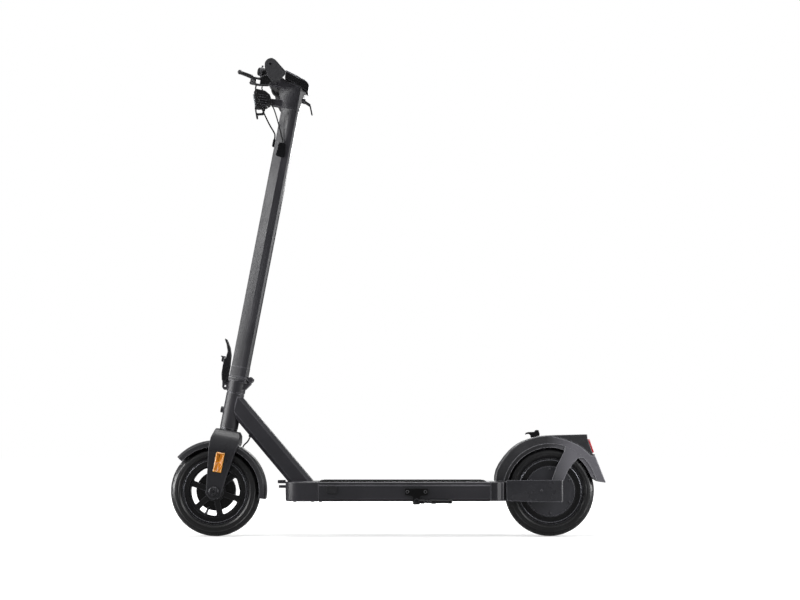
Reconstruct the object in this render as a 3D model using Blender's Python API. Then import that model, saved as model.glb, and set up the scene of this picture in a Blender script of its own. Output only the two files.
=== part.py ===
# Folding electric scooter: spoked front wheel with a drum brake, rear hub motor, folding stem.
# World frame: +X forward, +Y to the rider's left, +Z up, metres. The origin is on the ground,
# below the middle of the scooter. Parts that steer or fold are drawn in the steering frame, whose
# +Z runs up the raked steering axis from the height of the front axle.
import bpy
import bmesh
from math import acos, cos, pi, radians, sin, tan
from mathutils import Matrix, Vector

for old in list(bpy.data.objects):
    bpy.data.objects.remove(old, do_unlink=True)

# Fits
GAP = 0.0003            # between pieces that touch
RUN_GAP = 0.0008        # between pieces that move past each other

# Wheels
TYRE_R = 0.1143
TYRE_W = 0.055
TYRE_WALL = 0.0045
RIM_R = 0.084           # top of the rim flange
RIM_BED_R = 0.076       # where the tyre bead sits
RIM_W = 0.047           # over the two flanges
FLANGE_T = 0.0035
WINDOW_R = 0.0623       # outer edge of the windows between the spokes
HUB_R = 0.021
SPOKES = 6
SPOKE_W = 0.015
SPOKE_T = 0.010
DRUM_R = 0.0498
DRUM_WALL = 0.0045
AXLE_R = 0.006
AXLE_CAP_R = 0.013
MOTOR_R = 0.064
MOTOR_WALL = 0.004
WHEEL_STEPS = 36

# Steering
RAKE = radians(10.6)
FORK_OFFSET = 0.002
FORK_W = 0.120
FORK_LEG_T = 0.014
FORK_DEPTH = 0.0735
CROWN_T = 0.028
CROWN_TOP_W = 0.060
DROPOUT_R = 0.020
STEERER_R = 0.014
HEAD_TUBE_R = 0.023
HEAD_TUBE_WALL = 0.0035
HEAD_TUBE_L = 0.090
BEARING_LIP = 0.0045
BEARING_H = 0.008
COLLAR_R = 0.0235
COLLAR_H = 0.037
HINGE_SETBACK = 0.032   # from the steering axis back to the fold pin
HINGE_PIN_R = 0.0035
HINGE_LUG_R = 0.0072
HINGE_LUG_W = 0.022
HINGE_EAR_W = 0.009
HINGE_WEB_W = 0.034
HINGE_SKIN = 0.0015     # left over the ends of the fold pin

# Front fender
FENDER_CLEAR = 0.012
FENDER_T = 0.003
FENDER_W = 0.072
FENDER_SKIRT = 0.017
FENDER_FRONT = radians(42)
FENDER_REAR = radians(189)

# Stem and head
STEM_D = 0.046          # front to back
STEM_W = 0.044          # side to side
STEM_FACET = 0.0235     # front facet, seen from the side
STEM_EDGE = 0.0045      # narrow rear facet
STEM_WALL = 0.003
STEM_BASE_H = 0.0285
STEM_L = 0.677
SPIGOT_L = 0.036
HEAD_W = 0.060
BAR_REACH = 0.0505      # from the steering axis forward to the bar
BAR_RISE = 0.0643       # from the bottom of the head up to the bar
BAR_R = 0.011
BAR_WALL = 0.002
BAR_SPAN = 0.472        # over the two grips
GRIP_L = 0.118
GRIP_R = 0.0140
GRIP_END = 0.004
CLAMP_R = 0.018
CLAMP_W = 0.040
SCREEN_W = 0.058
BUTTON_AT = 0.0080      # from the rear of the slanted top to the power button
BUTTON_R = 0.0040
CABLE_R = 0.0019
WIRE_R = 0.0016

# Deck
DECK_L = 0.516
DECK_W = 0.160
DECK_H = 0.049
DECK_TOP = 0.139
DECK_WALL = 0.003
DECK_SETBACK = 0.1539   # from the rear axle forward to the end of the deck
NOSE_SETBACK = 0.1801   # from the front axle back to the end of the nose
NOSE_L = 0.084
NOSE_ROUND = 0.034
PRONG_REACH = 0.022
MAT_T = 0.003
MAT_W = 0.140
NECK_D = 0.049
NECK_W_TOP = 0.046
NECK_W_FOOT = 0.070
NECK_WALL = 0.003
NECK_EDGE = 0.009
NECK_JOIN_Z = 0.2235    # along the steering axis
NECK_JOIN_X = -0.0108
NECK_FOOT_BACK = 0.037  # from the nose back to the middle of the neck's foot

# Rear end
TAIL_REACH = 0.1415     # from the rear axle back to the tip of the fender
ARM_W = 0.108           # over the two arms
ARM_T = 0.012
YOKE_W = 0.140
ARM_H = 0.052
COVER_T = 0.011
COVER_BACK = 0.031      # from the rear axle back to the end of the arm covers
COVER_ROUND = 0.0085
COVER_STEP_Z = 0.126    # where the covers' sides start to lean in
REAR_FENDER_W = 0.072
REAR_FENDER_T = 0.003
STAY_T = 0.005
HOOK_W = 0.012

# Fixed places worked out from the sizes above
WHEEL_BASE = DECK_SETBACK + DECK_L + NOSE_SETBACK
HALF_LENGTH = (TYRE_R + WHEEL_BASE + TAIL_REACH) / 2
FRONT_X = HALF_LENGTH - TYRE_R
REAR_X = FRONT_X - WHEEL_BASE
FENDER_R = TYRE_R + FENDER_CLEAR + FENDER_T
CROWN_BOTTOM = FENDER_R + GAP
CROWN_TOP = CROWN_BOTTOM + CROWN_T
HEAD_TUBE_BOTTOM = CROWN_TOP + BEARING_LIP + 2 * GAP
HEAD_TUBE_TOP = HEAD_TUBE_BOTTOM + HEAD_TUBE_L
COLLAR_BOTTOM = HEAD_TUBE_TOP + BEARING_LIP / 2 + 2 * GAP
SEAM = COLLAR_BOTTOM + COLLAR_H
FOLD_X = -HINGE_SETBACK
FOLD_Z = SEAM + 0.0015
BASE_BOTTOM = SEAM + RUN_GAP
STEM_BOTTOM = BASE_BOTTOM + STEM_BASE_H
HEAD_BOTTOM = STEM_BOTTOM + STEM_L + GAP
BAR_Z = HEAD_BOTTOM + BAR_RISE
DECK_BOTTOM = DECK_TOP - DECK_H
DECK_REAR = REAR_X + DECK_SETBACK
NOSE_X = DECK_REAR + DECK_L
NOSE_BACK = NOSE_X - NOSE_L


# Frames: an empty on the steering axis, and one on the fold pin
STEER_ORIGIN = Vector((FRONT_X - FORK_OFFSET * cos(RAKE), 0, TYRE_R - FORK_OFFSET * sin(RAKE)))
FOLD_ORIGIN = Vector((FOLD_X, 0, FOLD_Z))

steer_axis = bpy.data.objects.new("steer_axis", None)
steer_axis.location = STEER_ORIGIN
steer_axis.rotation_euler = (0, -RAKE, 0)
bpy.context.collection.objects.link(steer_axis)
fold_axis = bpy.data.objects.new("fold_axis", None)
fold_axis.parent = steer_axis
fold_axis.location = FOLD_ORIGIN
bpy.context.collection.objects.link(fold_axis)
FRAME_START = {None: Vector(), steer_axis: Vector(), fold_axis: FOLD_ORIGIN}


def to_steer(x, z):
    """A world point in the side view, given in the steering frame."""
    dx = x - STEER_ORIGIN.x
    dz = z - STEER_ORIGIN.z
    return dx * cos(RAKE) + dz * sin(RAKE), dz * cos(RAKE) - dx * sin(RAKE)


def to_world(x, z):
    """A point of the steering frame, given in the world's side view."""
    return (STEER_ORIGIN.x + x * cos(RAKE) - z * sin(RAKE),
            STEER_ORIGIN.z + x * sin(RAKE) + z * cos(RAKE))


# Finishes: colour, roughness and metallic value
FINISHES = {
    "frame_paint": ((0.030, 0.029, 0.032), 0.42, 0.35),
    "black_plastic": ((0.016, 0.016, 0.017), 0.55, 0.0),
    "grey_plastic": ((0.060, 0.060, 0.063), 0.50, 0.0),
    "tyre": ((0.012, 0.012, 0.012), 0.85, 0.0),
    "rubber": ((0.014, 0.014, 0.014), 0.80, 0.0),
    "soft_grip": ((0.035, 0.034, 0.036), 0.75, 0.0),
    "bare_steel": ((0.45, 0.45, 0.46), 0.35, 1.0),
    "black_steel": ((0.030, 0.030, 0.032), 0.38, 0.8),
    "alloy": ((0.30, 0.30, 0.31), 0.40, 0.9),
    "copper": ((0.60, 0.28, 0.14), 0.35, 0.9),
    "screen_glass": ((0.006, 0.006, 0.007), 0.08, 0.0),
    "lamp_lens": ((0.70, 0.72, 0.74), 0.12, 0.0),
    "red_lens": ((0.70, 0.02, 0.03), 0.18, 0.0),
    "orange_lens": ((0.72, 0.24, 0.004), 0.22, 0.0),
    "battery_wrap": ((0.05, 0.08, 0.16), 0.45, 0.0),
}


def finish_of(name, finish):
    """A material of the object's own, from the table of finishes."""
    colour, roughness, metallic = FINISHES[finish]
    made = bpy.data.materials.new(name + "_" + finish)
    made.use_nodes = True
    shader = made.node_tree.nodes["Principled BSDF"]
    shader.inputs["Base Color"].default_value = (*colour, 1)
    shader.inputs["Roughness"].default_value = roughness
    shader.inputs["Metallic"].default_value = metallic
    made.diffuse_color = (*colour, 1)
    return made


def make_object(name, shape, frame, origin):
    """An object from a bmesh drawn in its frame, with its own origin at a given point."""
    bmesh.ops.recalc_face_normals(shape, faces=shape.faces[:])
    bmesh.ops.translate(shape, verts=shape.verts[:], vec=-Vector(origin))
    mesh = bpy.data.meshes.new(name)
    shape.to_mesh(mesh)
    shape.free()
    made = bpy.data.objects.new(name, mesh)
    bpy.context.collection.objects.link(made)
    made.parent = frame
    made.location = Vector(origin) - FRAME_START[frame]
    return made


def add_part(name, shape, finish, frame=None, origin=(0, 0, 0), smooth=True):
    """A sub-part, shaded smooth where it is round."""
    made = make_object(name, shape, frame, origin)
    made.data.materials.append(finish_of(name, finish))
    if smooth:
        made.data.shade_smooth()
        made.data.set_sharp_from_angle(angle=radians(35))
    return made


def combine(part, shape, operation="DIFFERENCE", frame=None):
    """Cuts a helper solid from a part, joins it on, or keeps what they share."""
    count = len(part.modifiers) + 1
    helper = make_object(part.name + "_helper_" + str(count), shape, frame, (0, 0, 0))
    helper.hide_render = True
    helper.display_type = "WIRE"
    change = part.modifiers.new("shape_" + str(count), "BOOLEAN")
    change.operation = operation
    change.solver = "EXACT"
    change.object = helper
    return helper


def soften(part, width, segments=1, angle=35):
    """Rounds or breaks the sharp edges of a part."""
    edge = part.modifiers.new("soft_edges", "BEVEL")
    edge.width = width
    edge.segments = segments
    edge.limit_method = "ANGLE"
    edge.angle_limit = radians(angle)
    edge.harden_normals = False
    return edge


def arc(centre_a, centre_b, radius, start, end, steps):
    """Points of an arc in a side view, angles in degrees."""
    angles = [radians(start + (end - start) * i / steps) for i in range(steps + 1)]
    return [(centre_a + radius * cos(t), centre_b + radius * sin(t)) for t in angles]


def rounded(outline, radius, steps=3):
    """The outline with each real corner replaced by an arc."""
    points = []
    count = len(outline)
    for i in range(count):
        before = Vector(outline[i - 1])
        here = Vector(outline[i])
        after = Vector(outline[(i + 1) % count])
        into = (here - before).normalized()
        out = (after - here).normalized()
        turn = acos(max(-1.0, min(1.0, into.dot(out))))
        if turn < radians(25):
            points.append(tuple(here))
            continue
        reach = min(radius * tan(turn / 2), (here - before).length * 0.45, (after - here).length * 0.45)
        first = here - into * reach
        last = here + out * reach
        for k in range(steps + 1):
            t = k / steps
            points.append(tuple(first.lerp(here, t).lerp(here.lerp(last, t), t)))
    return points


def prism(outline, low, high, along="Y"):
    """An outline pushed along one axis: (x, z) along Y, (x, y) along Z, (y, z) along X."""
    place = {"Y": lambda a, b, c: (a, c, b), "Z": lambda a, b, c: (a, b, c), "X": lambda a, b,
             c: (c, a, b)}[along]
    shape = bmesh.new()
    face = shape.faces.new([shape.verts.new(place(a, b, low)) for a, b in outline])
    grown = bmesh.ops.extrude_face_region(shape, geom=[face])
    moved = [item for item in grown["geom"] if isinstance(item, bmesh.types.BMVert)]
    bmesh.ops.translate(shape, verts=moved, vec=Vector(place(0, 0, high - low)))
    return shape


def block(low, high):
    """A plain block between two corners."""
    shape = bmesh.new()
    bmesh.ops.create_cube(shape, size=1)
    size = Vector(high) - Vector(low)
    middle = (Vector(high) + Vector(low)) / 2
    bmesh.ops.transform(shape, matrix=Matrix.Translation(middle) @ Matrix.Diagonal((*size, 1)),
                        verts=shape.verts[:])
    return shape


def turned(profile, axis, centre, steps=24, start=0.0, sweep=2 * pi):
    """A profile of (radius, distance along the axis) turned about an axis through a point."""
    along = {"X": Vector((1, 0, 0)), "Y": Vector((0, 1, 0)), "Z": Vector((0, 0, 1))}[axis]
    outward = {"X": Vector((0, 0, 1)), "Y": Vector((1, 0, 0)), "Z": Vector((1, 0, 0))}[axis]
    spin_axis = -along if axis == "Y" else along
    first = Matrix.Rotation(start, 3, spin_axis) @ outward
    centre = Vector(centre)
    shape = bmesh.new()
    ring = [shape.verts.new(centre + first * r + along * a) for r, a in profile]
    edges = [shape.edges.new((ring[i - 1], ring[i])) for i in range(len(ring))
             if profile[i - 1][0] > 0 or profile[i][0] > 0]
    bmesh.ops.spin(shape, geom=ring + edges, cent=centre, axis=spin_axis, angle=sweep, steps=steps)
    bmesh.ops.remove_doubles(shape, verts=shape.verts[:], dist=1e-6)
    bmesh.ops.holes_fill(shape, edges=[edge for edge in shape.edges if edge.is_boundary])
    return shape


def rod(radius, low, high, axis, centre, steps=20):
    """A plain round bar between two distances along an axis."""
    return turned([(0, low), (radius, low), (radius, high), (0, high)], axis, centre, steps)


def lofted(rings):
    """A closed skin through rings of points, one after the other."""
    shape = bmesh.new()
    rows = [[shape.verts.new(p) for p in ring] for ring in rings]
    count = len(rows[0])
    for one, two in zip(rows, rows[1:]):
        for i in range(count):
            j = (i + 1) % count
            shape.faces.new((one[i], one[j], two[j], two[i]))
    shape.faces.new(rows[0])
    shape.faces.new(rows[-1])
    return shape


def smooth_route(points, spacing):
    """Points read at even steps from a smooth curve through a route's own points."""
    ends = [points[0] * 2 - points[1]] + points + [points[-1] * 2 - points[-2]]
    fine = []
    for i in range(1, len(ends) - 2):
        a, b, c, d = ends[i - 1:i + 3]
        for k in range(40):
            t = k / 40
            fine.append(0.5 * ((2 * b) + (c - a) * t + (2 * a - 5 * b + 4 * c - d) * t * t
                               + (3 * b - a - 3 * c + d) * t * t * t))
    fine.append(points[-1])
    length = sum((q - p).length for p, q in zip(fine, fine[1:]))
    count = max(4, round(length / spacing))
    wanted = [length * k / count for k in range(count + 1)]
    route = [fine[0]]
    walked = 0.0
    for p, q in zip(fine, fine[1:]):
        step = (q - p).length
        while len(route) < count and walked + step >= wanted[len(route)]:
            route.append(p.lerp(q, (wanted[len(route)] - walked) / step))
        walked += step
    route.append(fine[-1])
    return route


def cable(name, points, radius, finish, frame=None):
    """A round cable along a route, as a curve with a bevel and filled caps."""
    route = smooth_route([Vector(p) for p in points], radius * 3.6)
    curve = bpy.data.curves.new(name, "CURVE")
    curve.dimensions = "3D"
    curve.bevel_depth = radius
    curve.bevel_resolution = 2
    curve.use_fill_caps = True
    spline = curve.splines.new("POLY")
    spline.points.add(len(route) - 1)
    for point, place in zip(spline.points, route):
        point.co = (*(place - FRAME_START[frame]), 1)
    curve.materials.append(finish_of(name, finish))
    made = bpy.data.objects.new(name, curve)
    bpy.context.collection.objects.link(made)
    made.parent = frame
    return made


def stem_outline(grow=0.0):
    """The stem's faceted section seen from above: broad front facets, narrow rear ones."""
    d = STEM_D / 2 + grow
    w = STEM_W / 2 + grow
    cut = STEM_FACET + grow * 0.5
    edge = STEM_EDGE + grow * 0.5
    half = [(d, w * 0.42), (d - cut, w), (-d + edge, w), (-d, w - edge)]
    return symmetric(half)


def mirrored(points):
    """The same points on the other side of the middle plane."""
    return [(r, -y) for r, y in points]


def symmetric(half):
    """A closed outline from the half of it at positive Y, as (x, y) points."""
    return half + [(x, -y) for x, y in reversed(half)]


def oriented(shape, point, direction):
    """A shape drawn along +Z from the origin, turned to a direction and moved to a point."""
    turn = Vector((0, 0, 1)).rotation_difference(Vector(direction)).to_matrix().to_4x4()
    bmesh.ops.transform(shape, matrix=Matrix.Translation(Vector(point)) @ turn, verts=shape.verts[:])
    return shape


# Wheels
def tyre_profile():
    """An air-filled tyre: a hollow carcass, open at the bead."""
    bead_y = RIM_W / 2 - FLANGE_T - GAP
    half = TYRE_W / 2
    outer = [(RIM_BED_R + GAP, bead_y), (RIM_R + GAP, bead_y), (RIM_R + 0.0025, RIM_W / 2 + 0.001),
             (TYRE_R - 0.016, half), (TYRE_R - 0.006, half - 0.0045), (TYRE_R, half - 0.017)]
    inner = [(TYRE_R - TYRE_WALL - 0.0005, half - 0.019), (TYRE_R - TYRE_WALL - 0.010, half - 0.0055),
             (RIM_R + 0.002, bead_y - TYRE_WALL), (RIM_BED_R + GAP, bead_y - TYRE_WALL)]
    return outer + mirrored(outer[::-1]) + mirrored(inner[::-1]) + inner


def rim_side():
    """The left side of a rim, from its inside face over the flange to the tyre bed."""
    half = RIM_W / 2
    return [(RIM_R - 0.011, half - 0.001), (RIM_R - 0.0008, half), (RIM_R, half - 0.0008),
            (RIM_R, half - FLANGE_T), (RIM_BED_R, half - FLANGE_T)]


HUB_BORE = AXLE_R + 0.0002
DROPOUT_IN = FORK_W / 2 - FORK_LEG_T
DRUM_EDGE = -0.026
PLATE_TOP = 0.018


def front_rim_profile():
    """The cast wheel in section: hub, brake drum, spoke plate and rim, as one turned outline."""
    inside = WINDOW_R + 0.0012
    half = RIM_W / 2
    plate_bottom = PLATE_TOP - SPOKE_T
    hub = [(HUB_BORE, -0.018), (HUB_BORE, DROPOUT_IN - GAP), (0.012, DROPOUT_IN - GAP), (0.013, 0.032),
           (HUB_R, 0.030), (HUB_R, PLATE_TOP), (inside, PLATE_TOP - 0.0015),
           (inside + 0.0025, half - 0.002)]
    drum = [(HUB_R, plate_bottom), (HUB_R, 0.003), (DRUM_R - 0.002, 0.003), (DRUM_R, 0.001),
            (DRUM_R, DRUM_EDGE), (DRUM_R - DRUM_WALL, DRUM_EDGE), (DRUM_R - DRUM_WALL, -0.002),
            (HUB_R - 0.002, -0.002), (HUB_R - 0.002, -0.018)]
    back = [(inside + 0.0025, -half + 0.002), (inside, -half + 0.006), (inside, plate_bottom - 0.0015)]
    return hub + rim_side() + mirrored(rim_side()[::-1]) + back + drum


def spoke_window(turn):
    """The opening between two spokes: parallel to each spoke, with round corners."""
    inner_r = HUB_R + 0.005
    half_gap = pi / SPOKES
    outline = []
    for radius, order in ((WINDOW_R, 1), (inner_r, -1)):
        reach = half_gap - SPOKE_W / 2 / radius
        outline += [(radius * cos(turn + order * reach * k), radius * sin(turn + order * reach * k))
                    for k in (-1, -0.5, 0, 0.5, 1)]
    return prism(rounded(outline, 0.009, 3), 0.0045, PLATE_TOP + 0.006)


def build_front_wheel():
    """Tyre and cast rim on the front axle."""
    centre = Vector((FRONT_X, 0, TYRE_R))
    axle = (FORK_OFFSET, 0, 0)
    add_part("front_tyre", turned(tyre_profile(), "Y", axle, WHEEL_STEPS), "tyre", steer_axis, axle)
    rim = add_part("front_rim", turned(front_rim_profile(), "Y", axle, WHEEL_STEPS), "frame_paint",
                   steer_axis, axle)
    for k in range(SPOKES):
        window = spoke_window(radians(8) + 2 * pi * (k + 0.5) / SPOKES)
        bmesh.ops.translate(window, verts=window.verts[:], vec=axle)
        combine(rim, window, "DIFFERENCE", steer_axis)


def build_rear_wheel():
    """Tyre, motor shell with its rim, and the bolted cover on the left."""
    axle = (REAR_X, 0, TYRE_R)
    half = RIM_W / 2
    can = MOTOR_R - MOTOR_WALL
    face = half - 0.001
    seat = face - MOTOR_WALL
    shell = [(HUB_BORE, -face - 0.0075), (HUB_BORE, -face + 0.003), (can, -face + 0.003), (can, seat),
             (MOTOR_R + GAP, seat), (MOTOR_R + GAP, face), (RIM_R - 0.0125, face)]
    back = [(RIM_R - 0.0125, -face), (MOTOR_R, -face - 0.002), (0.022, -face - 0.0035),
            (0.020, -face - 0.0075)]
    profile = shell + rim_side() + mirrored(rim_side()[::-1]) + back
    add_part("rear_tyre", turned(tyre_profile(), "Y", axle, WHEEL_STEPS), "tyre", None, axle)
    add_part("motor_shell", turned(profile, "Y", axle, WHEEL_STEPS), "frame_paint", None, axle)
    low = seat + GAP
    cover = [(HUB_BORE, low), (MOTOR_R, low), (MOTOR_R, face), (MOTOR_R - 0.004, face + 0.0012),
             (0.024, face + 0.004), (0.021, face + 0.0075), (0.0125, face + 0.0085),
             (HUB_BORE, face + 0.0085)]
    add_part("motor_cover", turned(cover, "Y", axle, WHEEL_STEPS), "frame_paint", None, axle)
    ring = [(AXLE_R + GAP, -0.010), (0.018, -0.010), (0.018, -0.004), (0.040, -0.004), (0.040, -0.013),
            (can - 0.006, -0.013), (can - 0.006, 0.013), (0.040, 0.013), (0.040, 0.004), (0.018, 0.004),
            (0.018, 0.010), (AXLE_R + GAP, 0.010)]
    add_part("motor_stator", turned(ring, "Y", axle, 20), "copper", None, axle)
    end = ARM_W / 2
    shaft = [(0, -end - 0.0095), (AXLE_R, -end - 0.0095), (AXLE_R, end + 0.0095), (0, end + 0.0095)]
    axle_part = add_part("rear_axle", turned(shaft, "Y", axle, 20), "bare_steel", None, axle)
    for side in (1, -1):
        low, high = sorted((side * (end + GAP), side * (end + 0.0075)))
        combine(axle_part, rod(0.0095, low, high, "Y", axle, 6), "UNION")


def build_fork():
    """Fork with its steerer: two outlines that share one solid, so both views are right."""
    d = FORK_DEPTH / 2
    side = ([(-d * 0.80, CROWN_TOP), (-d * 0.95, CROWN_TOP - 0.009), (-d, CROWN_TOP - 0.027),
             (-d * 0.86, CROWN_TOP - 0.055), (-0.0214, 0.0375)]
            + arc(FORK_OFFSET, 0, DROPOUT_R, 190, 350, 10)
            + [(0.0290, 0.054), (d, CROWN_TOP - 0.052), (d, CROWN_TOP - 0.025), (d * 0.82, CROWN_TOP)])
    w = FORK_W / 2
    foot = -DROPOUT_R - 0.005
    top = CROWN_TOP_W / 2
    half = [(w, foot), (w, CROWN_TOP - 0.056), (w - 0.0025, CROWN_TOP - 0.038),
            (w - 0.0115, CROWN_TOP - 0.018),
            (top + 0.006, CROWN_TOP - 0.004), (top, CROWN_TOP)]
    inner = [(DROPOUT_IN, foot), (DROPOUT_IN, CROWN_BOTTOM - 0.014), (DROPOUT_IN - 0.010, CROWN_BOTTOM)]
    front = half + mirrored_front(half[::-1]) + mirrored_front(inner) + inner[::-1]
    fork = add_part("fork", prism(side, -w - 0.01, w + 0.01), "frame_paint", steer_axis)
    combine(fork, prism(front, -0.06, 0.06, "X"), "INTERSECT", steer_axis)
    soften(fork, 0.0025, 2, 60)
    top_z = COLLAR_BOTTOM + COLLAR_H * 0.58
    combine(fork, rod(STEERER_R, CROWN_TOP - 0.006, top_z, "Z", (0, 0, 0), 24), "UNION", steer_axis)
    combine(fork, rod(AXLE_R + GAP, -w - 0.02, w + 0.02, "Y", (FORK_OFFSET, 0, 0), 20), "DIFFERENCE",
            steer_axis)
    axle = (FORK_OFFSET, 0, 0)
    r = AXLE_CAP_R
    head = [(AXLE_R, w + GAP), (r, w + GAP), (r, w + 0.004), (r - 0.002, w + 0.006), (0, w + 0.006)]
    add_part("front_axle", turned(mirrored(head[::-1]) + head, "Y", axle, 20), "black_steel", steer_axis,
             axle)
    for name, sign in (("reflector_left", 1), ("reflector_right", -1)):
        low, high = sorted((sign * (w + GAP), sign * (w + 0.003)))
        plate = prism([(-0.0072, 0.0495), (0.0138, 0.0495), (0.0138, 0.0995), (-0.0072, 0.0995)], low, high)
        reflector = add_part(name, plate, "orange_lens", steer_axis)
        soften(reflector, 0.0012, 1)


def mirrored_front(points):
    """Points of a front view, (y, z), on the other side of the middle plane."""
    return [(-y, z) for y, z in points]


def build_drum_brake():
    """Backing plate with the shoe ring and cable stop, and the arm that the cable pulls."""
    axle = (FORK_OFFSET, 0, 0)
    face = DRUM_EDGE - RUN_GAP
    shoe = DRUM_R - DRUM_WALL - RUN_GAP
    profile = [(HUB_BORE, -DROPOUT_IN + GAP), (0.012, -DROPOUT_IN + GAP), (0.014, face - 0.005),
               (DRUM_R - 0.003, face - 0.004), (DRUM_R, face - 0.002), (DRUM_R, face), (shoe, face),
               (shoe, -0.006), (shoe - 0.009, -0.006), (shoe - 0.009, face), (0.015, face),
               (0.012, -0.018 - RUN_GAP), (HUB_BORE, -0.018 - RUN_GAP)]
    plate = add_part("drum_plate", turned(profile, "Y", axle, 28), "alloy", steer_axis, axle)
    back = face - 0.004
    combine(plate, block((-0.033, back - 0.001, 0.034), (-0.021, back + 0.003, 0.0575)), "UNION",
            steer_axis)
    combine(plate, block((-0.033, back - 0.0095, 0.0525), (-0.021, back + 0.002, 0.0575)), "UNION",
            steer_axis)
    combine(plate, rod(0.0035, back - 0.0085, back + 0.001, "Y", (-0.012, 0, 0.022), 14), "UNION",
            steer_axis)
    outline = rounded([(-0.0180, 0.0165), (-0.0065, 0.0165), (-0.0065, 0.0275), (-0.0240, 0.0455),
                       (-0.0310, 0.0400)], 0.004)
    arm = add_part("brake_arm", prism(outline, back - 0.0065, back - 0.0025), "bare_steel", steer_axis,
                   (-0.012, back, 0.022))
    combine(arm, rod(0.0035 + GAP, back - 0.02, back + 0.01, "Y", (-0.012, 0, 0.022), 14), "DIFFERENCE",
            steer_axis)


def build_front_fender():
    """A channel bent round the tyre, under the crown."""
    half = FENDER_W / 2
    low = FENDER_R - FENDER_SKIRT
    t = FENDER_T
    profile = [(low, half), (FENDER_R - 0.0055, half), (FENDER_R, half - 0.0065),
               (FENDER_R, -half + 0.0065),
               (FENDER_R - 0.0055, -half), (low, -half), (low, -half + t), (FENDER_R - 0.0065, -half + t),
               (FENDER_R - t, -half + 0.0085), (FENDER_R - t, half - 0.0085), (FENDER_R - 0.0065, half - t),
               (low, half - t)]
    axle = (FORK_OFFSET, 0, 0)
    start = FENDER_FRONT - RAKE
    shape = turned(profile, "Y", axle, 30, start, FENDER_REAR - FENDER_FRONT)
    add_part("front_fender", shape, "black_plastic", steer_axis, axle)


def build_headset():
    """Head tube with its two bearings and the plug on its front."""
    bottom, top = HEAD_TUBE_BOTTOM, HEAD_TUBE_TOP
    race = HEAD_TUBE_R - 0.003
    cup = race + GAP
    bore = HEAD_TUBE_R - HEAD_TUBE_WALL - 0.003
    deep = BEARING_H + GAP
    tube = add_part("head_tube", turned(
        [(cup, bottom), (HEAD_TUBE_R, bottom), (HEAD_TUBE_R, top), (cup, top), (cup, top - deep),
         (bore, top - deep),
         (bore, bottom + deep), (cup, bottom + deep)], "Z", (0, 0, 0), 32), "frame_paint", steer_axis)
    plug = rod(0.008, bore + 0.002, HEAD_TUBE_R + 0.0065, "X", (0, 0, bottom + HEAD_TUBE_L * 0.49), 16)
    combine(tube, plug, "UNION", steer_axis)
    inner = STEERER_R + GAP
    lip = HEAD_TUBE_R - 0.0006
    low = CROWN_TOP + GAP
    high = low + BEARING_LIP
    add_part("bearing_lower", turned([(inner, low), (lip, low), (lip, high), (race, high),
                                      (race, bottom + BEARING_H),
                                      (inner, bottom + BEARING_H)], "Z", (0, 0, 0), 24), "black_steel",
                                      steer_axis)
    low = top + GAP
    high = low + BEARING_LIP / 2
    add_part("bearing_upper", turned([(inner, top - BEARING_H), (race, top - BEARING_H), (race, low),
                                      (lip, low),
                                      (lip, high), (inner, high)], "Z", (0, 0, 0), 24), "black_steel",
                                      steer_axis)


LATCH_X = 0.034
LATCH_Z = SEAM - 0.0075
LATCH_PIN_R = 0.003
LUG_W = 0.010
LATCH_W = 0.020


def build_collar():
    """Lower half of the fold joint, clamped on the steerer, with the hinge lug and latch lug."""
    collar = add_part("lower_collar", rod(COLLAR_R, COLLAR_BOTTOM, SEAM - 0.007, "Z", (0, 0, 0), 32),
                      "frame_paint",
                      steer_axis)
    combine(collar, prism(stem_outline(0.001), SEAM - 0.010, SEAM, "Z"), "UNION", steer_axis)
    rear = ([(-0.018, SEAM - 0.026), (-0.027, SEAM - 0.018)] + arc(FOLD_X, FOLD_Z, HINGE_LUG_R, 215, -11,
                                                                   12)
            + [(-0.018, SEAM - 0.0002)])
    combine(collar, prism(rear, -HINGE_LUG_W / 2, HINGE_LUG_W / 2), "UNION", steer_axis)
    shelf = FOLD_Z - HINGE_LUG_R - 2 * RUN_GAP
    web = [(-0.012, SEAM - 0.030), (-0.0235, SEAM - 0.026), (FOLD_X - 0.003, shelf - 0.002),
           (FOLD_X - 0.002, shelf),
           (-0.012, shelf)]
    combine(collar, prism(web, -HINGE_WEB_W / 2, HINGE_WEB_W / 2), "UNION", steer_axis)
    front = ([(0.018, SEAM - 0.034), (0.031, SEAM - 0.0355), (0.0365, SEAM - 0.030)]
             + arc(LATCH_X, LATCH_Z, 0.0062, -15, 110, 6) + [(0.018, LATCH_Z + 0.004)])
    combine(collar, prism(front, -LUG_W / 2, LUG_W / 2), "UNION", steer_axis)
    combine(collar, rod(0.0025, -0.02, 0.02, "Y", (0.0295, 0, SEAM - 0.0255), 12), "DIFFERENCE", steer_axis)
    combine(collar, rod(LATCH_PIN_R + GAP, -0.02, 0.02, "Y", (LATCH_X, 0, LATCH_Z), 14), "DIFFERENCE",
            steer_axis)
    combine(collar, rod(HINGE_PIN_R + GAP, -0.03, 0.03, "Y", (FOLD_X, 0, FOLD_Z), 14), "DIFFERENCE",
            steer_axis)
    bore_top = COLLAR_BOTTOM + COLLAR_H * 0.58 + GAP
    combine(collar, rod(STEERER_R + GAP, COLLAR_BOTTOM - 0.01, bore_top, "Z", (0, 0, 0), 24), "DIFFERENCE",
            steer_axis)
    reach = HINGE_LUG_W / 2 + HINGE_EAR_W - HINGE_SKIN
    add_part("fold_pin", rod(HINGE_PIN_R, -reach, reach, "Y", FOLD_ORIGIN, 14), "bare_steel", steer_axis,
             FOLD_ORIGIN)


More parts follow.
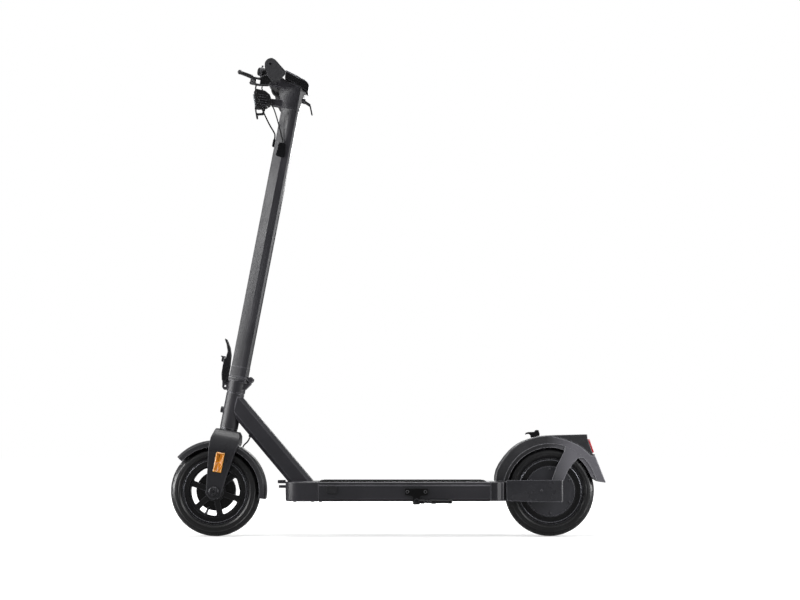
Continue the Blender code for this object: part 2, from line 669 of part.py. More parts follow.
def build_latch():
    """The over-centre lever in front of the joint, and the safety trigger on its face."""
    x, z = LATCH_X, LATCH_Z
    outline = (arc(x, z, 0.0081, 180, 360, 8)
               + [(x + 0.0110, z + 0.012), (x + 0.0120, z + 0.050), (x + 0.0070, z + 0.0535),
                  (x + 0.0062, z + 0.0700),
                  (x + 0.0125, z + 0.0880), (x + 0.0190, z + 0.0985), (x + 0.0175, z + 0.1020),
                  (x + 0.0115, z + 0.0985), (x + 0.0008, z + 0.0800), (x - 0.0052, z + 0.0620),
                  (x - 0.0078, z + 0.0340)])
    lever = add_part("latch_lever", prism(outline, -LATCH_W / 2, LATCH_W / 2), "black_steel", steer_axis,
                     (x, 0, z))
    slot = LUG_W / 2 + GAP
    combine(lever, block((x - 0.03, -slot, z - 0.02), (x + 0.03, slot, z + 0.0115)), "DIFFERENCE",
            steer_axis)
    soften(lever, 0.0012, 1, 40)
    combine(lever, rod(LATCH_PIN_R, -LATCH_W / 2 + 0.001, LATCH_W / 2 - 0.001, "Y", (x, 0, z), 14), "UNION",
            steer_axis)
    pivot = (x + 0.0149, 0, z + 0.0440)
    px, pz = pivot[0], pivot[2]
    arm = (arc(px, pz, 0.0027, 180, 360, 6) + [(px + 0.0027, pz + 0.0085), (px + 0.0058, pz + 0.0100),
           (px + 0.0058, pz + 0.0125), (px - 0.0070, pz + 0.0125), (px - 0.0070, pz + 0.0103),
           (px - 0.0027, pz + 0.0085)])
    trigger = add_part("latch_trigger", prism(arm, -0.006, 0.006), "black_steel", steer_axis, pivot)
    soften(trigger, 0.0005, 1, 40)


def build_stem():
    """Upper half of the fold joint and the faceted tube that stands on it."""
    bottom = BASE_BOTTOM
    base = add_part("stem_base", prism(stem_outline(0.0005), bottom, STEM_BOTTOM - GAP, "Z"), "frame_paint",
                    fold_axis, FOLD_ORIGIN)
    combine(base, prism(stem_outline(0.0018), bottom, bottom + 0.0035, "Z"), "UNION", fold_axis)
    spigot = prism(stem_outline(-STEM_WALL - GAP), bottom + 0.002, STEM_BOTTOM + SPIGOT_L, "Z")
    combine(base, spigot, "UNION", fold_axis)
    lug = HINGE_LUG_W / 2
    back = FOLD_X + HINGE_LUG_R + RUN_GAP
    combine(base, block((-0.040, -lug - 0.001, bottom - 0.01), (back, lug + 0.001, bottom + 0.013)),
            "DIFFERENCE",
            fold_axis)
    ear = arc(FOLD_X, FOLD_Z, HINGE_LUG_R, 355, 150, 11) + [(-0.0195, FOLD_Z + 0.0068), (-0.0195, bottom)]
    for sign in (1, -1):
        low, high = sorted((sign * (lug + GAP), sign * (lug + GAP + HINGE_EAR_W)))
        combine(base, prism(ear, low, high), "UNION", fold_axis)
    reach = lug + GAP + HINGE_EAR_W - HINGE_SKIN
    combine(base, rod(HINGE_PIN_R + GAP, -reach, reach, "Y", FOLD_ORIGIN, 14), "DIFFERENCE", fold_axis)
    tube = add_part("stem_tube", prism(stem_outline(), STEM_BOTTOM, STEM_BOTTOM + STEM_L, "Z"),
                    "frame_paint",
                    fold_axis, FOLD_ORIGIN)
    hollow = prism(stem_outline(-STEM_WALL), STEM_BOTTOM - 0.01, STEM_BOTTOM + STEM_L + 0.01, "Z")
    combine(tube, hollow, "DIFFERENCE", fold_axis)
    combine(tube, rod(0.006, 0, 0.05, "Y", (0.001, 0, GROMMET_Z), 14), "DIFFERENCE", fold_axis)


GROMMET_Z = HEAD_BOTTOM - 0.110
GROMMET_H = 0.036
FRONT_GROMMET_Z = HEAD_BOTTOM - 0.093
FRONT_GROMMET_H = 0.020


CATCH_X = -0.0312
CATCH_Z = HEAD_BOTTOM + 0.0285
CATCH_WIRE_R = 0.0022
CATCH_PIN_R = 0.0016


def build_head():
    """The cast head: saddle for the bar, arm for the lamp, slanted top for the screen."""
    b = HEAD_BOTTOM
    bx, bz = BAR_REACH, BAR_Z
    slope_low, slope_high = screen_line()
    seat = display_seat()
    side = ([(-0.0232, b), (-0.0272, b + 0.0300), (-0.0288, b + 0.0400), (-0.0330, b + 0.0510 - GAP)]
            + [(x, z - GAP) for x, z in seat[1:]] + [(bx - 0.0040, bz + 0.0155), (bx - 0.0040, bz - 0.0155),
                                                     (0.0385, b + 0.0400), (0.0330, b + 0.0220),
                                                     (0.0232, b)])
    head = add_part("stem_head", prism(side, -0.05, 0.05), "frame_paint", fold_axis, FOLD_ORIGIN)
    rings = []
    for height, wide, corner, slope in ((-0.005, STEM_W, 0.0080, 0.85),
                                        (0.030, STEM_W + 0.004, 0.0040, 0.50),
                                        (0.056, HEAD_W - 0.002, -0.0040, 0.36),
                                        (0.120, HEAD_W, -0.0060, 0.34)):
        half = [(corner + (wide / 2 - 0.0085) / slope, 0.0085), (corner, wide / 2), (-0.0185, wide / 2),
                (-0.0400, wide / 2 - 0.020)]
        rings.append([Vector((x, y, b + height)) for x, y in symmetric(half)])
    combine(head, lofted(rings), "INTERSECT", fold_axis)
    soften(head, 0.0014, 1, 55)
    for sign in (1, -1):
        low, high = sorted((sign * 0.0145, sign * 0.018))
        ear = block((-0.0350, low, CATCH_Z - 0.0034), (-0.020, high, CATCH_Z + 0.0034))
        combine(head, ear, "UNION", fold_axis)
    saddle = ([(0.0200, b + 0.0460), (0.0200, b + 0.0685)] + arc(bx, bz, CLAMP_R, 125, 90, 4)
              + arc(bx, bz, CLAMP_R, 270, 225, 4))
    combine(head, prism(saddle, -CLAMP_W / 2, CLAMP_W / 2), "UNION", fold_axis)
    arm = prism(rounded([(0.018, b + 0.002), (0.050, b + 0.002), (0.0535, b + 0.010), (0.0535, b + 0.018),
                         (0.018, b + 0.021)], 0.002, 2), -0.012, 0.012)
    combine(head, arm, "UNION", fold_axis)
    combine(head, prism(stem_outline(-STEM_WALL - GAP), b - 0.022, b + 0.004, "Z"), "UNION", fold_axis)
    combine(head, block((bx + GAP, -0.05, bz - 0.03), (bx + 0.05, 0.05, bz + 0.03)), "DIFFERENCE",
            fold_axis)
    combine(head, rod(BAR_R + GAP, -0.06, 0.06, "Y", (bx, 0, bz), 24), "DIFFERENCE", fold_axis)
    combine(head, rod(CATCH_PIN_R + GAP, -0.03, 0.03, "Y", (CATCH_X, 0, CATCH_Z), 12), "DIFFERENCE",
            fold_axis)
    along = (Vector(slope_high) - Vector(slope_low)).normalized()
    normal = Vector((-along.y, along.x))
    button_at = Vector(slope_low) + along * BUTTON_AT
    hole = oriented(rod(BUTTON_R + GAP, -0.0045, 0.01, "Z", (0, 0, 0), 20), (button_at.x, 0, button_at.y),
                    (normal.x, 0, normal.y))
    cap = [(0, -0.0030), (BUTTON_R, -0.0030), (BUTTON_R, 0.0008), (BUTTON_R - 0.0008, 0.0016), (0, 0.0016)]
    origin = (button_at.x, 0, button_at.y)
    button = oriented(turned(cap, "Z", (0, 0, 0), 20), origin, (normal.x, 0, normal.y))
    add_part("power_button", button, "grey_plastic", fold_axis, origin)
    block_line = seat + [slope_high, slope_low, (-0.0314, b + 0.0755), (-0.0373, b + 0.0679),
                         (-0.0387, b + 0.0548)]
    screen = add_part("display", prism(block_line, -SCREEN_W / 2, SCREEN_W / 2), "screen_glass", fold_axis,
                      FOLD_ORIGIN)
    soften(screen, 0.0016, 2, 40)
    combine(screen, hole, "DIFFERENCE", fold_axis)
    half_ring = arc(bx, bz, CLAMP_R, -90, 90, 10)
    lift = [(x + 2 * GAP, z) for x, z in half_ring]
    clamp = add_part("bar_clamp", prism(lift, -CLAMP_W / 2, CLAMP_W / 2), "black_steel", fold_axis,
                     FOLD_ORIGIN)
    soften(clamp, 0.0015, 1, 40)
    combine(clamp, rod(BAR_R + GAP, -0.06, 0.06, "Y", (bx, 0, bz), 24), "DIFFERENCE", fold_axis)


def screen_line():
    """The two ends of the display's slanted top, rear and front."""
    return (-0.0217, HEAD_BOTTOM + 0.0806), (0.0298, HEAD_BOTTOM + 0.0957)


def display_seat():
    """The line where the display unit sits on the head, from the rear to the front."""
    return [(x, HEAD_BOTTOM + z) for x, z in ((-0.0364, 0.0488), (-0.0281, 0.0542), (0.0003, 0.0653),
                                             (0.0280, 0.0738))]


def build_catch():
    """The swinging bail behind the head that hooks under the fender's hook when folded."""
    x, z = CATCH_X, CATCH_Z
    bail = add_part("stow_catch", rod(0.0033, -0.0142, 0.0142, "Y", (x, 0, z), 12), "black_steel",
                    fold_axis,
                    (x, 0, z))
    side = [(x - 0.001, z + 0.0015), (x - 0.0178, z - 0.0062), (x - 0.0268, z - 0.0278),
            (x - 0.0236, z - 0.0300),
            (x - 0.0150, z - 0.0092), (x - 0.001, z - 0.0030)]
    for sign in (1, -1):
        low, high = sorted((sign * 0.0090, sign * 0.0134))
        combine(bail, prism(side, low, high), "UNION", fold_axis)
    bar = rod(CATCH_WIRE_R, -0.0125, 0.0125, "Y", (x - 0.0250, 0, z - 0.0283), 10)
    combine(bail, bar, "UNION", fold_axis)
    combine(bail, rod(CATCH_PIN_R, -0.0172, 0.0172, "Y", (x, 0, z), 12), "UNION", fold_axis)


# The end of the palm rest in the side view: angle in degrees and distance from the bar's middle
PALM_END = [(0, 0.0138), (22, 0.0136), (52, 0.0139), (78, 0.0147), (97, 0.0157), (127, 0.0163),
            (155, 0.0189),
            (176, 0.0247), (188, 0.0336), (194, 0.0411), (201, 0.0440), (212, 0.0434), (223, 0.0437),
            (237, 0.0449), (246, 0.0436), (256, 0.0403), (266, 0.0329), (276, 0.0263), (292, 0.0205),
            (321, 0.0158)]


def grip_ring(y, wing):
    """A section of the grip: round, with the palm rest drawn out towards the rider."""
    points = []
    for angle, reach in PALM_END:
        r = GRIP_R + (reach - GRIP_R) * wing
        points.append(Vector((BAR_REACH + r * cos(radians(angle)), y, BAR_Z + r * sin(radians(angle)))))
    return points


def build_bar():
    """Handlebar tube, and a grip with a palm rest at each end."""
    end = BAR_SPAN / 2 - GRIP_END
    tube = turned([(BAR_R - BAR_WALL, -end), (BAR_R, -end), (BAR_R, end), (BAR_R - BAR_WALL, end)], "Y",
                  (BAR_REACH, 0, BAR_Z), 24)
    add_part("handlebar", tube, "frame_paint", fold_axis, FOLD_ORIGIN)
    out = BAR_SPAN / 2
    start = out - GRIP_L
    stations = [(start, 0), (out - 0.092, 0.05), (out - 0.078, 0.16), (out - 0.062, 0.38),
                (out - 0.044, 0.70),
                (out - 0.026, 0.92), (out - 0.010, 0.995), (out - 0.002, 1.0), (out, 0.96)]
    for name, sign in (("grip_left", 1), ("grip_right", -1)):
        grip = add_part(name, lofted([grip_ring(sign * y, wing) for y, wing in stations]), "soft_grip",
                        fold_axis,
                        FOLD_ORIGIN)
        low, high = sorted((sign * (start - 0.02), sign * (end + GAP)))
        combine(grip, rod(BAR_R + GAP, low, high, "Y", (BAR_REACH, 0, BAR_Z), 24), "DIFFERENCE", fold_axis)


def build_lamp():
    """Headlamp on the head's arm, with its lens and the carrying loop moulded below it."""
    b = HEAD_BOTTOM
    outline = rounded([(0.1004, b + 0.0255), (0.0965, b + 0.0355), (0.0720, b + 0.0345),
                       (0.0585, b + 0.0270),
                       (0.0540, b + 0.0200), (0.0540, b + 0.0030), (0.0640, b - 0.0060),
                       (0.0874, b - 0.0130)],
                      0.004, 2)
    lamp = add_part("lamp_housing", prism(outline, -0.023, 0.023), "black_plastic", fold_axis, FOLD_ORIGIN)
    soften(lamp, 0.003, 2, 50)
    loop = rounded([(0.0930, b - 0.0100), (0.0820, b - 0.0400), (0.0775, b - 0.0385), (0.0800, b - 0.0290),
                    (0.0660, b - 0.0260), (0.0640, b - 0.0060)], 0.002, 2)
    combine(lamp, prism(loop, -0.003, 0.003), "UNION", fold_axis)
    hole = rounded([(0.0875, b - 0.0150), (0.0835, b - 0.0245), (0.0705, b - 0.0215), (0.0695, b - 0.0110)],
                   0.002,
                   2)
    combine(lamp, prism(hole, -0.01, 0.01), "DIFFERENCE", fold_axis)
    front_low, front_high = Vector((0.0874, b - 0.0130)), Vector((0.1004, b + 0.0255))
    along = (front_high - front_low).normalized()
    normal = Vector((along.y, -along.x))
    low = front_low + along * 0.0045 + normal * GAP
    high = front_high - along * 0.0045 + normal * GAP
    slab = [tuple(low), tuple(low + normal * 0.003), tuple(high + normal * 0.003), tuple(high)]
    lens = add_part("lamp_lens", prism(slab, -0.018, 0.018), "lamp_lens", fold_axis, FOLD_ORIGIN)
    soften(lens, 0.0011, 2, 40)


LEVER_X = BAR_REACH + 0.047
LEVER_Z = BAR_Z - 0.026
PERCH_W = 0.018
LEVER_Y = BAR_SPAN / 2 - GRIP_L - PERCH_W / 2 - 0.002
LEVER_H = 0.012


def build_brake_lever():
    """Perch clamped on the bar, and the lever that turns on an upright pin in it."""
    x, z = LEVER_X, LEVER_Z
    bx, bz = BAR_REACH, BAR_Z
    h = LEVER_H / 2
    outline = (arc(bx, bz, 0.0165, 60, 230, 8)
               + [(bx + 0.008, bz - 0.032), (x - 0.016, z - h - 0.0035), (x + 0.007, z - h - 0.0035),
                  (x + 0.009, z - h - 0.001), (x + 0.009, z + h + 0.001), (x + 0.004, z + h + 0.0035),
                  (x - 0.014, z + h + 0.0040), (bx + 0.018, bz - 0.006)])
    perch = add_part("lever_perch", prism(outline, LEVER_Y - PERCH_W / 2, LEVER_Y + PERCH_W / 2),
                     "black_steel", fold_axis,
                     FOLD_ORIGIN)
    soften(perch, 0.0015, 1, 40)
    combine(perch, rod(BAR_R + GAP, LEVER_Y - 0.05, LEVER_Y + 0.05, "Y", (bx, 0, bz), 24), "DIFFERENCE",
            fold_axis)
    slot = h + GAP
    combine(perch, block((x - 0.018, LEVER_Y - 0.02, z - slot), (x + 0.02, LEVER_Y + 0.02, z + slot)),
            "DIFFERENCE",
            fold_axis)
    combine(perch, rod(0.0023, z - 0.02, z + 0.02, "Z", (x, LEVER_Y, 0), 12), "DIFFERENCE", fold_axis)
    hub = turned([(0, -h - 0.0030), (0.0020, -h - 0.0030), (0.0020, -h), (0.0078, -h), (0.0078, h),
                  (0.0020, h),
                  (0.0020, h + 0.0030), (0, h + 0.0030)], "Z", (x, LEVER_Y, z), 18)
    lever = add_part("brake_lever", hub, "black_steel", fold_axis, (x, LEVER_Y, z))
    route = [(x, LEVER_Y, 0.0074, h), (x - 0.005, LEVER_Y + 0.021, 0.0045, h * 0.96),
             (x - 0.007, LEVER_Y + 0.043, 0.0040, h * 0.9), (x - 0.001, LEVER_Y + 0.065, 0.0038, h * 0.85),
             (x + 0.011, LEVER_Y + 0.085, 0.0036, h * 0.8), (x + 0.0245, LEVER_Y + 0.104, 0.0036, h * 0.75)]
    rings = []
    for px, py, thick, tall in route:
        corners = [(thick, tall * 0.5), (thick * 0.5, tall), (-thick * 0.5, tall), (-thick, tall * 0.5)]
        corners = corners + [(a, -c) for a, c in reversed(corners)]
        rings.append([Vector((px + a, py, z - (py - LEVER_Y) * 0.04 + c * 0.98)) for a, c in corners])
    combine(lever, lofted(rings), "UNION", fold_axis)
    ball = bmesh.new()
    bmesh.ops.create_uvsphere(ball, u_segments=12, v_segments=7, radius=0.0060)
    bmesh.ops.translate(ball, verts=ball.verts[:], vec=(x + 0.0250, LEVER_Y + 0.1065, z - 0.0040))
    combine(lever, ball, "UNION", fold_axis)


BELL_Y = LEVER_Y - 0.027
BELL_X = BAR_REACH + 0.0330
BELL_Z = BAR_Z + 0.0050


def build_bell():
    """Bell can on its own clamp, and the thumb ring that turns round the can to strike it."""
    bx, bz = BAR_REACH, BAR_Z
    y = BELL_Y
    can_x, can_z = BELL_X, BELL_Z
    bell = add_part("bell", turned([(BAR_R + GAP, y - 0.006), (0.0150, y - 0.006), (0.0150, y + 0.006),
                                    (BAR_R + GAP, y + 0.006)], "Y", (bx, 0, bz), 24), "black_plastic",
                                    fold_axis,
                    FOLD_ORIGIN)
    combine(bell, block((bx + 0.0125, y - 0.005, bz - 0.001), (can_x - 0.006, y + 0.005, bz + 0.011)),
            "UNION",
            fold_axis)
    can = turned([(0, -0.0090), (0.0100, -0.0090), (0.0107, -0.0080), (0.0107, 0.0070), (0.0085, 0.0100),
                  (0.0040, 0.0112), (0, 0.0115)], "X", (can_x, y, can_z), 24)
    combine(bell, can, "UNION", fold_axis)
    combine(bell, rod(BAR_R + GAP, y - 0.03, y + 0.03, "Y", (bx, 0, bz), 24), "DIFFERENCE", fold_axis)
    ring = turned([(0.0110, -0.0020), (0.0126, -0.0020), (0.0126, 0.0030), (0.0110, 0.0030)], "X",
                  (can_x, y, can_z), 24)
    striker = add_part("bell_striker", ring, "grey_plastic", fold_axis, (can_x, y, can_z))
    tab = block((can_x - 0.0018, y - 0.003, can_z + 0.0118), (can_x + 0.0028, y + 0.003, can_z + 0.0165))
    combine(striker, tab, "UNION", fold_axis)


def build_throttle():
    """Throttle housing on the right of the bar, and the sprung thumb paddle beside it."""
    bx, bz = BAR_REACH, BAR_Z
    inner = BAR_SPAN / 2 - GRIP_L
    paddle_out = -(inner - 0.0015)
    paddle_in = paddle_out + 0.0095
    ring = [(BAR_R + GAP, paddle_out), (0.0160, paddle_out), (0.0160, paddle_in), (BAR_R + GAP, paddle_in)]
    paddle = add_part("throttle_paddle", turned(ring, "Y", (bx, 0, bz), 24), "grey_plastic", fold_axis,
                      (bx, 0, bz))
    blade = rounded([(bx - 0.004, bz - 0.0125), (bx - 0.0125, bz - 0.004), (bx - 0.0300, bz - 0.0200),
                     (bx - 0.0310, bz - 0.0330), (bx - 0.0240, bz - 0.0345), (bx - 0.0200, bz - 0.0270)],
                     0.003, 2)
    combine(paddle, prism(blade, paddle_out + 0.0005, paddle_in - 0.0005), "UNION", fold_axis)
    combine(paddle, rod(BAR_R + GAP, paddle_out - 0.03, paddle_in + 0.03, "Y", (bx, 0, bz), 24),
            "DIFFERENCE",
            fold_axis)
    low = paddle_in + GAP
    body = turned([(BAR_R + GAP, low), (0.0180, low), (0.0190, low + 0.002), (0.0190, low + 0.015),
                   (0.0170, low + 0.018), (BAR_R + GAP, low + 0.018)], "Y", (bx, 0, bz), 24)
    add_part("throttle_housing", body, "black_plastic", fold_axis, FOLD_ORIGIN)


def build_cables():
    """Grommets on the stem, and the two cables that run down to them from the lever and the bar."""
    w = STEM_W / 2
    z, h = GROMMET_Z, GROMMET_H / 2
    boot = prism(rounded([(-0.011, z - h), (0.013, z - h), (0.011, z + h), (-0.006, z + h)], 0.004, 2),
                 w + GAP,
                 w + 0.0055)
    side = add_part("grommet_side", boot, "rubber", fold_axis, FOLD_ORIGIN)
    soften(side, 0.0012, 1, 40)
    f, g = FRONT_GROMMET_Z, FRONT_GROMMET_H / 2
    d = STEM_D / 2
    plug = block((d + GAP, -0.0065, f - g), (d + 0.0062, 0.0065, f + g))
    front = add_part("grommet_front", plug, "rubber", fold_axis, FOLD_ORIGIN)
    soften(front, 0.0015, 1, 40)
    under = LEVER_Z - LEVER_H / 2 - 0.0035 - 2 * GAP
    mouth = d + 0.0034
    x, y = LEVER_X - 0.0090, LEVER_Y - 0.002
    cable("brake_cable", [(x, y, under), (x, y, under - 0.007), (x - 0.0035, y - 0.006, under - 0.020),
                          (x - 0.0135, y - 0.020, under - 0.036), (0.0624, 0.058, HEAD_BOTTOM - 0.0270),
                          (0.0450, 0.022, HEAD_BOTTOM - 0.0500), (mouth + 0.0025, 0.003, f + g + 0.015),
                          (mouth, 0, f + g + 0.006), (mouth, 0, f + g + GAP)], CABLE_R, "rubber", fold_axis)
    x, y, foot = BAR_REACH + 0.0225, LEVER_Y - 0.002, BAR_Z - 0.0355 - GAP
    side_y, end = w + 0.0030, z + h + GAP
    cable("control_wire", [(x, y, foot), (x, y, foot - 0.005), (x - 0.0060, y - 0.010, foot - 0.0130),
                           (x - 0.0150, y - 0.028, foot - 0.0220), (x - 0.0250, y - 0.048, foot - 0.0320),
                           (0.0390, 0.040, HEAD_BOTTOM - 0.0120), (0.0240, 0.0300, HEAD_BOTTOM - 0.0400),
                           (0.0100, side_y + 0.0005, HEAD_BOTTOM - 0.0700), (0.0030, side_y, end + 0.006),
                           (0.0030, side_y, end)], WIRE_R, "rubber", fold_axis)


# Frame
NECK_JOIN = Vector((to_world(NECK_JOIN_X, NECK_JOIN_Z)[0], 0, to_world(NECK_JOIN_X, NECK_JOIN_Z)[1]))
NECK_FOOT = Vector((NOSE_X - NECK_FOOT_BACK, 0, DECK_TOP))
NECK_WAY = (NECK_JOIN - NECK_FOOT).normalized()
NECK_DOWN = Vector((NECK_WAY.z, 0, -NECK_WAY.x))
BOOT_DOWN = 0.080       # along the neck from the head tube to the cable boot
BOOT_L = 0.0045
BOOT_Y = -0.012
BOOT_WAY = Vector((0.42, 0, -0.91)).normalized()


def neck_skin(shrink, over):
    """The neck beam: a box with broken edges that widens towards its foot."""
    rings = []
    span = (NECK_JOIN - NECK_FOOT).length
    for t in (-over - 0.05, span + over + 0.02):
        share = t / span
        w = (NECK_W_FOOT + (NECK_W_TOP - NECK_W_FOOT) * share) / 2 - shrink
        d = NECK_D / 2 - shrink
        e = NECK_EDGE - shrink * 0.6
        corners = [(d, w - e), (d - e, w), (-d + e, w), (-d, w - e)]
        ring = symmetric(corners)
        rings.append([NECK_FOOT + NECK_WAY * t + NECK_DOWN * a + Vector((0, y, 0)) for a, y in ring])
    return lofted(rings)


def build_neck():
    """The welded neck between the head tube and the nose, and the boot that the brake cable leaves by."""
    neck = add_part("neck_beam", neck_skin(0, 0), "frame_paint")
    combine(neck, neck_skin(NECK_WALL, 0.02))
    far = NOSE_X + 0.2
    combine(neck, block((NOSE_BACK - 0.3, -0.2, DECK_BOTTOM - 0.2), (far, 0.2, DECK_TOP + GAP)))
    combine(neck, rod(HEAD_TUBE_R + GAP, HEAD_TUBE_BOTTOM - 0.1, HEAD_TUBE_TOP + 0.1, "Z", (0, 0, 0), 32),
            "DIFFERENCE", steer_axis)
    combine(neck, block((-0.006, -0.1, 0), (0.15, 0.1, 0.5)), "DIFFERENCE", steer_axis)
    seat = NECK_JOIN - NECK_WAY * BOOT_DOWN + NECK_DOWN * NECK_D / 2 + Vector((0, BOOT_Y, 0))
    cone = turned([(0, -0.004), (0.0052, -0.004), (0.0048, 0.0025), (0.0034, BOOT_L), (0, BOOT_L)], "Z",
                  (0, 0, 0), 16)
    combine(neck, oriented(cone, seat, BOOT_WAY), "UNION")
    start = seat + BOOT_WAY * (BOOT_L + 2 * GAP)
    stop_y = DRUM_EDGE - RUN_GAP - 0.0085
    lane = -FORK_W / 2 + FORK_LEG_T + 0.005
    fork_points = [(-0.0520, -0.0165, 0.1370), (-0.0468, -0.0265, 0.1310), (-0.0428, -0.0365, 0.1255),
                   (-0.0410, lane, 0.1185), (-0.0385, lane, 0.1105), (-0.0345, lane, 0.0980),
                   (-0.0305, lane, 0.0830), (-0.0272, stop_y, 0.0680), (-0.0270, stop_y, 0.0575 + GAP)]
    route = [start, start + BOOT_WAY * 0.0060]
    for x, y, z in fork_points:
        place = to_world(x, z)
        route.append(Vector((place[0], y, place[1])))
    cable("lower_cable", route, CABLE_R, "rubber")


PORT_X = NOSE_BACK - 0.033
PORT_Z = DECK_TOP - 0.020
PORT_R = 0.0068
FLAP_T = 0.003


def deck_room(shrink):
    """The hollow of the deck seen from the end, made smaller for what slides into it."""
    w = DECK_W / 2 - DECK_WALL - shrink
    low = DECK_BOTTOM + DECK_WALL + shrink
    top = DECK_TOP - DECK_WALL - shrink
    half = [(w - 0.005, low), (w, low + 0.006), (w, top)]
    return half + mirrored_front(half[::-1])


def build_deck():
    """Extruded deck, cast nose, mat, battery and controller, and the charge port with its flap."""
    w = DECK_W / 2
    top, low = DECK_TOP, DECK_BOTTOM
    half = [(w - 0.0055, low), (w, low + 0.007), (w, top - 0.0085), (w - 0.0012, top - 0.0072),
            (w, top - 0.0059),
            (w, top - 0.0020), (w - 0.0020, top)]
    deck = add_part("deck_shell", prism(half + mirrored_front(half[::-1]), DECK_REAR, NOSE_BACK - GAP, "X"),
                    "frame_paint")
    combine(deck, prism(deck_room(0), DECK_REAR - 0.01, NOSE_BACK + 0.01, "X"))
    combine(deck, rod(0.0035, low - 0.0022, low + 0.001, "Z", (NOSE_BACK - 0.0045, 0.050, 0), 12), "UNION")
    combine(deck, rod(PORT_R + 0.002, w - 0.016, w - 0.001, "Y", (PORT_X, 0, PORT_Z), 18), "UNION")
    combine(deck, rod(PORT_R, w - 0.013, w + 0.01, "Y", (PORT_X, 0, PORT_Z), 18))
    back = NOSE_BACK - 0.008
    plan = ([(back, -w)] + arc(NOSE_X - NOSE_ROUND, -w + NOSE_ROUND, NOSE_ROUND, -90, 0, 6)
            + arc(NOSE_X - NOSE_ROUND, w - NOSE_ROUND, NOSE_ROUND, 0, 90, 6) + [(back, w)])
    nose = add_part("nose_casting", prism(plan, low, top, "Z"), "frame_paint")
    soften(nose, 0.0035, 2, 60)
    combine(nose, block((back - 0.01, -w - 0.01, low - 0.01), (NOSE_BACK, w + 0.01, top + 0.01)))
    combine(nose, prism(deck_room(GAP), NOSE_BACK - 0.020, NOSE_BACK + 0.001, "X"), "UNION")
    for z_low, z_high, root, reach in ((top - 0.0050, top - 0.0012, -0.010, PRONG_REACH),
                                       (top - 0.0022, top + 0.0030, 0.0030, PRONG_REACH),
                                       (top - 0.0165, top - 0.0100, -0.010, PRONG_REACH - 0.003)):
        tip = NOSE_X + reach
        plate = rounded([(NOSE_X + root, -0.020), (tip, -0.017), (tip, 0.017), (NOSE_X + root, 0.020)],
                        0.005, 2)
        combine(nose, prism(plate, z_low, z_high, "Z"), "UNION")
    mat = block((DECK_REAR + 0.010, -MAT_W / 2, top + GAP), (NOSE_BACK - 0.002, MAT_W / 2,
                                                             top + GAP + MAT_T))
    mat_part = add_part("deck_mat", mat, "rubber")
    soften(mat_part, 0.0012, 1, 40)
    floor = low + DECK_WALL + GAP
    battery = add_part("battery_pack", block((DECK_REAR + 0.050, -0.066, floor), (NOSE_BACK - 0.118, 0.066,
                                                                                 floor + 0.038)),
                                                                                         "battery_wrap")
    soften(battery, 0.002, 1, 40)
    box = add_part("controller", block((NOSE_BACK - 0.110, -0.040, floor), (NOSE_BACK - 0.034, 0.040,
                                                                            floor + 0.032)), "alloy")
    soften(box, 0.0015, 1, 40)
    flap = prism(rounded([(PORT_X - 0.014, PORT_Z - 0.010), (PORT_X + 0.014, PORT_Z - 0.010),
                          (PORT_X + 0.014, PORT_Z + 0.010), (PORT_X - 0.014, PORT_Z + 0.010)], 0.007, 4),
                          w + GAP,
                 w + GAP + FLAP_T)
    flap_part = add_part("charge_flap", flap, "rubber", None,
                         (PORT_X, w + GAP + FLAP_T / 2, PORT_Z + 0.010))
    soften(flap_part, 0.0008, 1, 50)


KICK_X = DECK_REAR + DECK_L * 0.36
KICK_Z = DECK_BOTTOM + 0.0005
KICK_Y = DECK_W / 2 + 0.0105
KICK_TILT = radians(12)
KICK_L = 0.089
KICK_PIN_R = 0.003
KICK_HUB_W = 0.0104
KICK_AXIS = Vector((0, cos(KICK_TILT), sin(KICK_TILT)))


